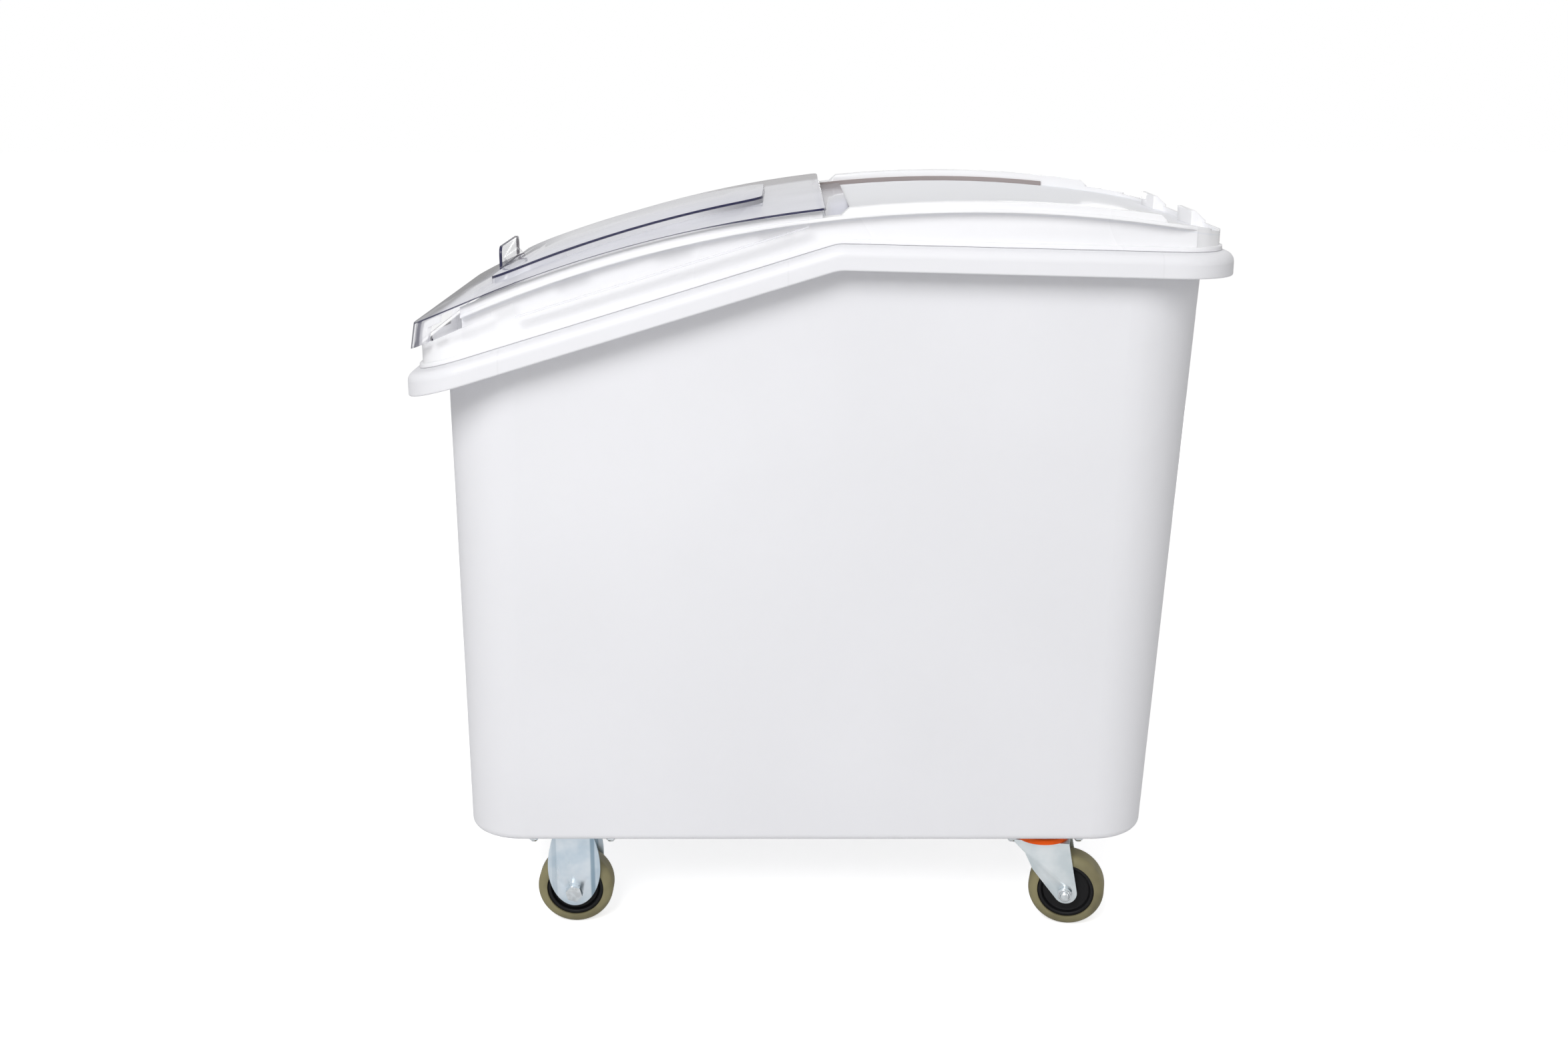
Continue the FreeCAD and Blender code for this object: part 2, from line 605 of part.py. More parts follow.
def skirt_outline(top, wall):
    """XZ outline of the clear shell seen from the side, open-ended beyond its front."""
    shallow = top - d.skirt_depth
    front = -d.rim_length / 2 - d.clear_rake
    points = [arc_point(top, d.clear_back), arc_point(top - wall, d.clear_back),
              arc_point(top - wall, d.skirt_back), arc_point(top - d.deep_back, d.skirt_back),
              arc_point(top - d.deep_front, d.notch_back),
              arc_point(shallow + d.notch_rise, d.notch_back - 2),
              arc_point(shallow + d.notch_rise, d.notch_front), arc_point(shallow, d.notch_front)]
    edges = [Part.makeLine(a, b) for a, b in zip(points, points[1:])]
    edges.append(arc_edge(shallow, front, d.notch_front))
    edges.append(Part.makeLine(arc_point(shallow, front), arc_point(top, front)))
    edges.append(arc_edge(top, front, d.clear_back))
    return edges


def raked_prism(top, inset):
    """Plan prism of the clear lid, moved in by inset, whose front leans back as it rises."""
    foot_z = arc_z(top - d.skirt_depth, -d.clear_front)
    brow_z = arc_z(top, -d.clear_front + d.clear_rake)
    lean = d.clear_rake / (brow_z - foot_z)
    half = d.base_half_width + d.flange_reach + d.clear_side_gap + d.clear_wall - inset
    corner = d.clear_front_corner - inset
    front = -d.clear_front + inset - (foot_z - d.floor_z) * lean
    wire = plan_wire(front, d.rim_length, half, corner, corner, d.floor_z)
    height = SKY_Z - d.floor_z
    return Part.Face(wire).extrude(Vector(height * lean, 0, height)), half


def panel_prism(inset):
    """Plan prism of the raised panel, which narrows towards the rear."""
    front, back = d.panel_front + inset, d.panel_back - inset
    corners = [(front, -d.panel_front_half + inset), (back, -d.panel_back_half + inset),
               (back, d.panel_back_half - inset), (front, d.panel_front_half - inset)]
    wire = rounded_wire(corners, [d.panel_corner - inset] * 4, lambda p: Vector(p.x, p.y, d.floor_z))
    return Part.Face(wire).extrude(Vector(0, 0, SKY_Z))


def clear_panel(top, wall):
    """Raised panel and the pocket below it, as (solid, pocket)."""
    reach = d.panel_front_half
    front, back = d.panel_front - 1, d.panel_back + 1
    high = top + d.panel_height
    solid = panel_prism(0).common(arc_band(top - wall, high, front, back, -reach, reach))

    def on_top(p):
        return abs(math.hypot(p.x - d.arc_x, p.z - d.arc_z) - high) < 0.01

    solid = solid.makeFillet(d.panel_edge_round, edges_where(solid, on_top))
    pocket = panel_prism(wall).common(arc_band(top - 2 * wall, high - wall, front, back, -reach, reach))
    return solid, pocket


def clear_tab(top):
    """Handle tab across the panel's front end, with a gusset near each end."""
    wall = d.clear_wall
    foot_z = arc_z(top - wall / 2, d.panel_front)
    crest_z = arc_z(top, d.panel_front) + d.tab_height
    half = d.tab_width / 2
    corners = [(-half, foot_z), (half, foot_z), (half, crest_z), (-half, crest_z)]
    back_x = d.panel_front - wall
    wire = rounded_wire(corners, [0, 0, d.tab_corner, d.tab_corner], lambda p: Vector(back_x, p.x, p.y))
    tab = Part.Face(wire).extrude(Vector(wall + 1, 0, 0))
    reach = d.gusset_length
    rise = d.panel_height + reach
    outline = [Vector(d.panel_front, 0, foot_z), Vector(d.panel_front, 0, foot_z + rise),
               arc_point(top, d.panel_front + reach), Vector(d.panel_front, 0, foot_z)]
    edges = [Part.makeLine(a, b) for a, b in zip(outline, outline[1:])]
    outer_y = half - d.tab_corner
    return tab.fuse(both_sides(slab(edges, outer_y - d.gusset_wall, outer_y)))


def clear_hooks(skirt_y):
    """Hooks that reach from the side skirts under the flanges."""
    high = d.deck_radius - d.deck_wall - d.hook_gap
    hooks = []
    for i in range(HOOKS):
        centre = d.hook_first + i * d.hook_pitch
        hooks.append(arc_band(high - d.hook_wall, high, centre - d.hook_length / 2,
                              centre + d.hook_length / 2, skirt_y - d.hook_reach, skirt_y + 0.5))
    return [both_sides(hook) for hook in hooks]


def clear_beads(top, skirt_y):
    """Bead along the bottom of the deep skirts."""
    low_front = arc_point(top - d.deep_front, d.notch_back)
    low_rear = arc_point(top - d.deep_back, d.skirt_back)
    up = Vector(0, 0, d.bead_height)
    outline = [low_front, low_rear, low_rear + up, low_front + up, low_front]
    edges = [Part.makeLine(a, b) for a, b in zip(outline, outline[1:])]
    return both_sides(slab(edges, skirt_y + d.clear_wall / 2, skirt_y + d.clear_wall + d.bead_reach))


def lip_slots(shallow, plate_low, skirt_y):
    """Slots in the lip's corners that let it pass over the base's side walls, flanges and runners."""
    gap = d.lip_clearance
    flange_low = d.deck_radius - d.deck_wall - gap
    flange_high = d.deck_radius + gap
    wall_in = d.base_half_width - d.base_wall - gap
    front, rear = -d.clear_front - 1, -d.clear_front + d.clear_front_corner + 5
    wall_slot = arc_band(shallow - 5, flange_high, front, rear, wall_in, d.base_half_width + gap)
    flange_slot = arc_band(flange_low, flange_high, front, rear, wall_in, skirt_y)
    runner_slot = arc_band(flange_low, plate_low, front, rear, d.runner_inner - gap, skirt_y)
    return both_sides(wall_slot.fuse([flange_slot, runner_slot]))


def make_clear_lid():
    wall = d.clear_wall
    top = d.deck_radius + d.rail_height + d.slide_gap + wall
    outer, half = raked_prism(top, 0)
    inner, skirt_y = raked_prism(top, wall)
    outer = outer.common(plan_prism(-d.rim_length, d.clear_back, half, 0, d.clear_back_corner))
    shell = outer.common(slab(skirt_outline(top, wall), -half - 1, half + 1))

    def rim_edge(p):
        return abs(math.hypot(p.x - d.arc_x, p.z - d.arc_z) - top) < 0.01

    shell = shell.makeFillet(d.clear_edge_round, edges_where(shell, rim_edge))
    cavity = inner.common(under_arc(top - wall, -d.rim_length / 2, d.clear_back + wall, skirt_y + 1))
    panel, pocket = clear_panel(top, wall)
    tongue_low = d.sunk_radius + d.tongue_gap
    tongue_high = tongue_low + wall
    tongue_half = d.tongue_half_width
    tongue = arc_band(tongue_low, tongue_high, d.clear_back - wall, d.tongue_back, -tongue_half, tongue_half)
    riser = arc_band(tongue_low, top - wall / 2, d.clear_back - wall, d.clear_back, -tongue_half, tongue_half)
    shell = shell.cut(cavity).fuse(panel).cut(pocket)
    shell = shell.fuse([tongue, riser, clear_tab(top), clear_beads(top, skirt_y)] + clear_hooks(skirt_y))
    return feature("clear_lid", shell.cut(lip_slots(top - d.skirt_depth, top - wall, skirt_y)).removeSplitter())


# ---------------------------------------------------------------- primitives bound to the sheet

def turned(item, axis, at):
    angles = {"z": (Vector(0, 0, 1), 0), "y": (Vector(1, 0, 0), -90)}
    item.Placement = Placement(Vector(), Rotation(*angles[axis]))
    return bind(item, Placement__Base__x=at[0], Placement__Base__y=at[1], Placement__Base__z=at[2])


def cylinder(name, radius, height, at, axis="z"):
    item = doc.addObject("Part::Cylinder", name)
    return turned(bind(item, Radius=radius, Height=height), axis, at)


def hexagon(name, radius, height, at, axis="z"):
    item = doc.addObject("Part::Prism", name)
    item.Polygon = 6
    return turned(bind(item, Circumradius=radius, Height=height), axis, at)


def box(name, length, width, height, at):
    item = doc.addObject("Part::Box", name)
    return turned(bind(item, Length=length, Width=width, Height=height), "z", at)


def joined(name, *items):
    item = doc.addObject("Part::MultiFuse", name)
    item.Shapes = list(items)
    return item


def cut(name, base, *tools):
    item = doc.addObject("Part::Cut", name)
    item.Base = base
    item.Tool = tools[0] if len(tools) == 1 else joined(name + "_tools", *tools)
    return item


def revolved(name, points, plane, round_radius=None, round_at=None):
    """PartDesign body turned about the sketch's vertical axis; points are (radius, height) expressions."""
    body = doc.addObject("PartDesign::Body", name)
    sketch = body.newObject("Sketcher::SketchObject", name + "_profile")
    base = [f for f in body.Origin.OriginFeatures if f.Role == plane][0]
    sketch.AttachmentSupport = [(base, "")]
    sketch.MapMode = "FlatFace"
    places = [Vector(*(value_of(text) for text in point), 0) for point in points]
    count = len(points)
    for i in range(count):
        sketch.addGeometry(Part.LineSegment(places[i], places[(i + 1) % count]), False)
    for i in range(count):
        sketch.addConstraint(Sketcher.Constraint("Coincident", i, 2, (i + 1) % count, 1))
    for i, (across, along) in enumerate(points):
        for kind, text, value in (("DistanceX", across, places[i].x), ("DistanceY", along, places[i].y)):
            index = sketch.addConstraint(Sketcher.Constraint(kind, -1, 1, i, 1, value))
            sketch.setExpression("Constraints[%d]" % index, link(text))
    turn = body.newObject("PartDesign::Revolution", name + "_turn")
    turn.Profile = sketch
    turn.ReferenceAxis = (sketch, ["V_Axis"])
    turn.Angle = 360
    if round_radius:
        doc.recompute()
        picked = [i for i, edge in enumerate(turn.Shape.Edges, start=1)
                  if edge.Closed and abs(edge.BoundBox.XLength / 2 - value_of(round_at)) < 0.01]
        fillet = body.newObject("PartDesign::Fillet", name + "_round")
        fillet.Base = (turn, ["Edge%d" % i for i in picked])
        bind(fillet, Radius=round_radius)
    return body


def seat(item, x, y, z="0", yaw=0.0):
    """Stands a finished piece in its place in the bin."""
    item.Placement = Placement(Vector(), Rotation(Vector(0, 0, 1), yaw))
    return bind(item, Placement__Base__x=x, Placement__Base__y=y, Placement__Base__z=z)


# ---------------------------------------------------------------- wheel set, shared by all casters

def wheel_profile():
    half_boss = "(fork_inside / 2 - boss_side_gap)"
    bore, ring_in = "sleeve_radius + run_gap", "hub_radius - ring_wall"
    steps = [(bore, half_boss), ("boss_radius", half_boss), ("boss_radius", "web_width / 2"),
             (ring_in, "web_width / 2"), (ring_in, "ring_width / 2"), ("hub_radius", "ring_width / 2")]
    lower = [(radius, "-1 * " + half) for radius, half in steps]
    return lower + steps[::-1]


def tyre_profile():
    half = "tread_width / 2"
    return [("hub_radius", "-" + half), ("wheel_radius", "-" + half), ("wheel_radius", half), ("hub_radius", half)]


def make_wheel_set(place, x, y, yaw, outer, head_outside):
    """Hub, tyre, sleeve, bolt and nut on an axle at the axle's own origin, lifted to wheel height."""
    def put(item, part):
        return seat(node(item, place + "_" + part), x, y, "wheel_radius", yaw)

    put(revolved(place + "_hub_body", wheel_profile(), "XY_Plane"), "wheel_hub")
    put(revolved(place + "_tyre_body", tyre_profile(), "XY_Plane", "tread_round", "wheel_radius"), "tyre")
    bore = "bolt_radius + bolt_gap"
    back = "-fork_inside / 2"
    tube = cylinder(place + "_tube", "sleeve_radius", "fork_inside", ("0", back, "0"), "y")
    hole = cylinder(place + "_bore", bore, "fork_inside", ("0", back, "0"), "y")
    put(cut(place + "_sleeve_cut", tube, hole), "axle_sleeve")
    head_side = outer if head_outside else -outer
    face = "(fork_inside / 2 + leg_wall)"
    grip = "(fork_inside + 2 * leg_wall)"
    low_head, low_nut = ("-%s - head_height" % face, face) if head_side < 0 else (face, "-%s - nut_height" % face)
    low_shank = "-%s" % face if head_side < 0 else "-%s - nut_height - bolt_end" % face
    shank = cylinder(place + "_shank", "bolt_radius", grip + " + nut_height + bolt_end", ("0", low_shank, "0"), "y")
    head = hexagon(place + "_head", "head_radius", "head_height", ("0", low_head, "0"), "y")
    put(joined(place + "_bolt", shank, head), "axle_bolt")
    nut = hexagon(place + "_nut_hex", "hex_radius", "nut_height", ("0", low_nut, "0"), "y")
    nut_hole = cylinder(place + "_nut_bore", bore, "nut_height", ("0", low_nut, "0"), "y")
    put(cut(place + "_nut_cut", nut, nut_hole), "axle_nut")


def plate_with_holes(name, length, hole_half, extra_holes=()):
    """Flat top plate under the tub with its four mounting holes."""
    low = "floor_z - plate_wall"
    plate = box(name, length, "plate_width", "plate_wall", ("-%s / 2" % length, "-plate_width / 2", low))
    holes = list(extra_holes)
    for i, (sx, sy) in enumerate(((-1, -1), (-1, 1), (1, -1), (1, 1))):
        at = ("%d * %s" % (sx, hole_half), "%d * hole_half_width" % sy, low)
        holes.append(cylinder("%s_hole%d" % (name, i), "mount_radius + mount_hole_gap", "plate_wall", at))
    return plate, holes


# ---------------------------------------------------------------- rigid front casters

def egg_leg(low_y):
    """Leg of the rigid fork: straight flanks above, a half oval below the widest place."""
    oval = 0.5523  # handle length that makes a Bezier quarter round
    wide, top_half, wide_z = d.front_leg_half, d.front_leg_top_half, d.front_leg_wide_z
    foot_z = d.wheel_radius - d.front_leg_end
    top_z = d.floor_z - d.plate_wall / 2
    drop = wide_z - foot_z
    edges = []
    for side in (-1, 1):
        quarter = Part.BezierCurve()
        quarter.setPoles([Vector(side * wide, 0, wide_z), Vector(side * wide, 0, wide_z - oval * drop),
                          Vector(side * oval * wide, 0, foot_z), Vector(0, 0, foot_z)])
        flank = Part.BezierCurve()
        flank.setPoles([Vector(side * wide, 0, wide_z), Vector(side * wide, 0, (wide_z + top_z) / 2),
                        Vector(side * top_half, 0, top_z)])
        edges += [quarter.toShape(), flank.toShape()]
    edges.append(Part.makeLine(Vector(-top_half, 0, top_z), Vector(top_half, 0, top_z)))
    return slab(edges, low_y, low_y + d.leg_wall)


def axle_hole(centre_x):
    radius = d.bolt_radius + d.bolt_gap
    length = 3 * d.fork_inside
    return Part.makeCylinder(radius, length, Vector(centre_x, -length / 2, d.wheel_radius), Vector(0, 1, 0))


def make_front_caster(side_name, side):
    place = "front_" + side_name
    x, y = "-front_axle_x", "%d * caster_half_track" % side
    legs = doc.addObject("Part::Feature", place + "_legs")
    shape = egg_leg(d.fork_inside / 2).fuse(egg_leg(-d.fork_inside / 2 - d.leg_wall))
    legs.Shape = shape.cut(axle_hole(0))
    plate, holes = plate_with_holes(place + "_plate", "front_plate_length", "front_hole_half")
    pressed = joined(place + "_pressed", plate, legs)
    seat(node(cut(place + "_fork_cut", pressed, *holes), place + "_fork"), x, y)
    make_wheel_set(place, x, y, 0.0, side, True)


# ---------------------------------------------------------------- swivel rear casters

def tangent_point(point, centre, radius, side):
    """Where the line from a point touches a circle, in (u, v)."""
    du, dv = point[0] - centre[0], point[1] - centre[1]
    distance = math.hypot(du, dv)
    angle = math.atan2(dv, du) + side * math.acos(radius / distance)
    return Vector(centre[0] + radius * math.cos(angle), 0, centre[1] + radius * math.sin(angle))


def swivel_leg(low_y):
    """Leg of the swivel fork, tapering from the crown to a round end at the axle."""
    top_z = d.crown_top_z - d.crown_wall / 2
    centre = (d.trail, d.wheel_radius)
    front = [(-d.crown_front, top_z), (-d.leg_shoulder_x, d.crown_top_z - d.leg_shoulder_drop),
             (-d.leg_waist_x, d.crown_top_z - d.leg_waist_drop)]
    back = (d.crown_back, top_z)
    first = tangent_point(front[-1], centre, d.rear_leg_end, 1)
    last = tangent_point(back, centre, d.rear_leg_end, -1)
    points = [Vector(u, 0, v) for u, v in front] + [first]
    edges = [Part.makeLine(a, b) for a, b in zip(points, points[1:])]
    foot = Vector(centre[0], 0, centre[1] - d.rear_leg_end)
    edges.append(Part.Arc(first, foot, last).toShape())
    corner = Vector(back[0], 0, back[1])
    edges += [Part.makeLine(last, corner), Part.makeLine(corner, points[0])]
    return slab(edges, low_y, low_y + d.leg_wall)


def swivel_fork_shape():
    half = d.fork_inside / 2 + d.leg_wall
    low = d.crown_top_z - d.crown_wall
    crown = block(-d.crown_front, d.crown_back, -half, half, low, d.crown_top_z)
    shape = crown.fuse([swivel_leg(half - d.leg_wall), swivel_leg(-half)])
    pin_hole = Part.makeCylinder(d.pin_radius, d.crown_wall * 2, Vector(0, 0, low - d.crown_wall / 2))
    return shape.cut([axle_hole(d.trail), pin_hole])


def ball_ring():
    height = d.crown_top_z + d.ball_gap + d.ball_radius
    balls = []
    for i in range(BALLS):
        angle = 2 * math.pi * i / BALLS
        centre = Vector(d.ball_path * math.cos(angle), d.ball_path * math.sin(angle), height)
        balls.append(Part.makeSphere(d.ball_radius, centre))
    return Part.makeCompound(balls)


def make_rear_caster(side_name, side):
    place = "rear_" + side_name
    x, y = "swivel_x", "%d * caster_half_track" % side
    yaw = side * d.swivel_yaw

    race_low = "crown_top_z + 2 * ball_gap + 2 * ball_radius"
    pin_bore = cylinder(place + "_pin_bore", "pin_radius + run_gap", "floor_z", ("0", "0", "0"))
    head_low = "floor_z - pin_head_height"
    head_bore = cylinder(place + "_head_bore", "pin_head_radius + 4 * run_gap", "pin_head_height",
                         ("0", "0", head_low))
    plate, holes = plate_with_holes(place + "_plate", "rear_plate_length", "rear_hole_half",
                                    (pin_bore, head_bore))
    race = cylinder(place + "_race", "race_radius", "floor_z - (%s)" % race_low, ("0", "0", race_low))
    dish = joined(place + "_dish", plate, race)
    seat(node(cut(place + "_plate_cut", dish, *holes), place + "_top_plate"), x, y)

    ring_in, ring_out = "dust_ring_radius - dust_ring_wall", "dust_ring_radius"
    low, high = "crown_top_z", "crown_top_z + dust_ring_height"
    ring = revolved(place + "_ring_body", [(ring_in, low), (ring_out, low), (ring_out, high), (ring_in, high)],
                    "XZ_Plane")
    seat(node(ring, place + "_dust_ring"), x, y, "0", yaw)

    balls = doc.addObject("Part::Feature", place + "_balls")
    balls.Shape = ball_ring()
    seat(node(balls, place + "_race_balls"), x, y, "0", yaw)

    foot_low = "crown_top_z - crown_wall - pin_foot_height"
    shank_length = "floor_z - run_gap - (%s)" % foot_low
    shank = cylinder(place + "_pin_shank", "pin_radius", shank_length, ("0", "0", foot_low))
    foot = cylinder(place + "_pin_foot", "pin_head_radius", "pin_foot_height", ("0", "0", foot_low))
    cap = cylinder(place + "_pin_cap", "pin_head_radius", "pin_head_height - 2 * run_gap",
                   ("0", "0", head_low + " + run_gap"))
    seat(node(joined(place + "_pin", shank, foot, cap), place + "_kingpin"), x, y, "0", yaw)

    fork = doc.addObject("Part::Feature", place + "_fork_shape")
    fork.Shape = swivel_fork_shape()
    seat(node(fork, place + "_fork"), x, y, "0", yaw)

    angle = math.radians(yaw)
    axle_x = "swivel_x + %.9f * trail" % math.cos(angle)
    axle_y = "%d * caster_half_track + %.9f * trail" % (side, math.sin(angle))
    make_wheel_set(place, axle_x, axle_y, yaw, side, False)


# ---------------------------------------------------------------- mounting bolts

def make_mount_fasteners():
    """Sixteen round-headed bolts through the tub's floor and the nuts below the plates."""
    inside_z = d.floor_z + d.tub_floor
    under_z = d.floor_z - d.plate_wall
    cap_z = under_z - d.mount_nut_height - d.mount_cap_height
    bolts, nuts = [], []
    for x, y in mount_points():
        length = inside_z - under_z + d.mount_nut_height
        shank = Part.makeCylinder(d.mount_radius, length, Vector(x, y, inside_z - length))
        head = Part.makeCone(d.mount_head_radius, d.mount_head_radius / 2, d.mount_head_height,
                             Vector(x, y, inside_z))
        bolts.append(shank.fuse(head))
        hexagon_wire = Part.makePolygon([
            Vector(x + d.mount_nut_radius * math.cos(k * math.pi / 3),
                   y + d.mount_nut_radius * math.sin(k * math.pi / 3), under_z) for k in range(7)])
        nut = Part.Face(hexagon_wire).extrude(Vector(0, 0, -d.mount_nut_height))
        cap = Part.makeCone(d.mount_nut_radius / 2, d.mount_nut_radius * 0.8, d.mount_cap_height,
                            Vector(x, y, cap_z))
        bore = Part.makeCylinder(d.mount_radius + d.bolt_gap / 2, d.mount_nut_height,
                                 Vector(x, y, under_z - d.mount_nut_height))
        nuts.append(nut.fuse(cap).cut(bore))
    feature("mount_bolts", Part.makeCompound(bolts))
    feature("mount_nuts", Part.makeCompound(nuts))


# ---------------------------------------------------------------- build, check and write

make_tub()
make_lid_base()
make_glide_strips()
make_clear_lid()
for side_name, side in (("near", -1), ("far", 1)):
    make_front_caster(side_name, side)
    make_rear_caster(side_name, side)
make_mount_fasteners()
doc.recompute()

for item in doc.Objects:
    if "Invalid" in item.State or "Error" in item.State:
        raise RuntimeError("%s did not recompute: %s" % (item.Name, item.State))
for label, item in nodes.items():
    if item.Shape.isNull() or not item.Shape.isValid() or not item.Shape.Solids:
        raise RuntimeError("%s has no valid shape" % label)
for label, item in nodes.items():
    item.Shape.exportStep("parts/%s.step" % label)
    box_now = item.Shape.BoundBox
    print("%-24s solids %2d volume %10.0f  X %.1f..%.1f  Y %.1f..%.1f  Z %.1f..%.1f" % (
        label, len(item.Shape.Solids), item.Shape.Volume, box_now.XMin, box_now.XMax,
        box_now.YMin, box_now.YMax, box_now.ZMin, box_now.ZMax))
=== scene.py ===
"""Dresses the mobile ingredient bin: moulded tub and lid base, clear sliding lid and four plated casters.

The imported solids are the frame. Each new piece is made in the same place as the solid it stands for, and
rides on that solid's body. Caster parts that are turned or built up have their sizes in millimetres; copies
of solids, and places in the finishes, are in metres.
"""

import logging
import math
from dataclasses import dataclass, field
from enum import Enum
from typing import Any, Callable, Iterable, Sequence

import bmesh
import bpy
from bmesh.types import BMEdge, BMesh
from mathutils import Matrix, Vector


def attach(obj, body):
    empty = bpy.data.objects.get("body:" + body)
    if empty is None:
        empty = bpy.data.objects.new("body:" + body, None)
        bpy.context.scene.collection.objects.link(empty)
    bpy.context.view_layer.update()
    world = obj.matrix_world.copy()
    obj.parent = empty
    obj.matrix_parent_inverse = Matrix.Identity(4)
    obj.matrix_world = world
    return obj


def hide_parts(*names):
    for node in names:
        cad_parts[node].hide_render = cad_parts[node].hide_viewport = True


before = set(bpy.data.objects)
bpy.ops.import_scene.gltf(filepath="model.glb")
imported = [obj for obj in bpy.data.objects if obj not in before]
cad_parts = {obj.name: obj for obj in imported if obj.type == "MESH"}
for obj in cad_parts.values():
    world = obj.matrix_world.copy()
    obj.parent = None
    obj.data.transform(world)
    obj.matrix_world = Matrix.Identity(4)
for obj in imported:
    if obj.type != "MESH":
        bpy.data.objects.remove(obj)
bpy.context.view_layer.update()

log = logging.getLogger("ingredient_bin")

MM = 0.001
WELD_MM = 1e-4
WELD_M = 1e-6
FLAT_DEGREES = 0.03
NOISE_SPAN = (0.3, 0.7)
NOISE_CORE = (0.35, 0.65)
Colour = tuple[float, float, float]
Profile = Sequence[tuple[float, float]]


class Axis(Enum):
    """Which way a turned piece's own axis points."""

    UPRIGHT = "upright"
    ACROSS = "across"


class Side(Enum):
    """The two sides of the bin, by the sign of Y."""

    NEAR = -1
    FAR = 1

    @property
    def word(self) -> str:
        """The word that the side has in the names of nodes and bodies."""
        return self.name.lower()


# ------------------------ shader maths


class Signal:
    """An output socket that takes part in Python arithmetic, one Math node for each operator."""

    def __init__(self, bench: "Bench", socket: bpy.types.NodeSocket) -> None:
        """Wraps a socket of the bench's material."""
        self.bench = bench
        self.socket = socket

    def _math(self, operation: str, *values: Any) -> "Signal":
        """Adds one Math node.

        Args:
            operation: the Math node's operation.
            values: its inputs in order, signals or numbers.

        Returns:
            The node's output.
        """
        return self.bench.node("Math", {"operation": operation}, dict(enumerate(values)))

    def __add__(self, other: Any) -> "Signal":
        """Sum."""
        return self._math("ADD", self, other)

    __radd__ = __add__

    def __sub__(self, other: Any) -> "Signal":
        """Difference."""
        return self._math("SUBTRACT", self, other)

    def __rsub__(self, other: Any) -> "Signal":
        """Difference from a number."""
        return self._math("SUBTRACT", other, self)

    def __mul__(self, other: Any) -> "Signal":
        """Product."""
        return self._math("MULTIPLY", self, other)

    __rmul__ = __mul__

    def __truediv__(self, other: Any) -> "Signal":
        """Quotient."""
        return self._math("DIVIDE", self, other)

    def __abs__(self) -> "Signal":
        """Size without the sign."""
        return self._math("ABSOLUTE", self)

    def at_least(self, floor: float) -> "Signal":
        """The larger of the signal and a number."""
        return self._math("MAXIMUM", self, floor)

    def at_most(self, ceiling: float) -> "Signal":
        """The smaller of the signal and a number."""
        return self._math("MINIMUM", self, ceiling)

    def root(self) -> "Signal":
        """Square root."""
        return self._math("SQRT", self)

    def ramp(self, start: float, end: float, low: float = 0.0, high: float = 1.0) -> "Signal":
        """Goes smoothly from low at start to high at end.

        Args:
            start: the value where the ramp begins.
            end: the value where it ends.
            low: what it gives at start.
            high: what it gives at end.

        Returns:
            The ramped signal.
        """
        settings = {"interpolation_type": "SMOOTHSTEP", "clamp": True}
        return self.bench.node("MapRange", settings, {0: self, 1: start, 2: end, 3: low, 4: high})

    def past(self, limit: float, over: float) -> "Signal":
        """Rises from 0 at the limit to 1 at a stretch beyond it, which lies below the limit if negative."""
        return self.ramp(limit, limit + over)

    def until(self, limit: float, over: float) -> "Signal":
        """Falls from 1 at the limit to 0 at a stretch beyond it."""
        return self.ramp(limit, limit + over, 1.0, 0.0)


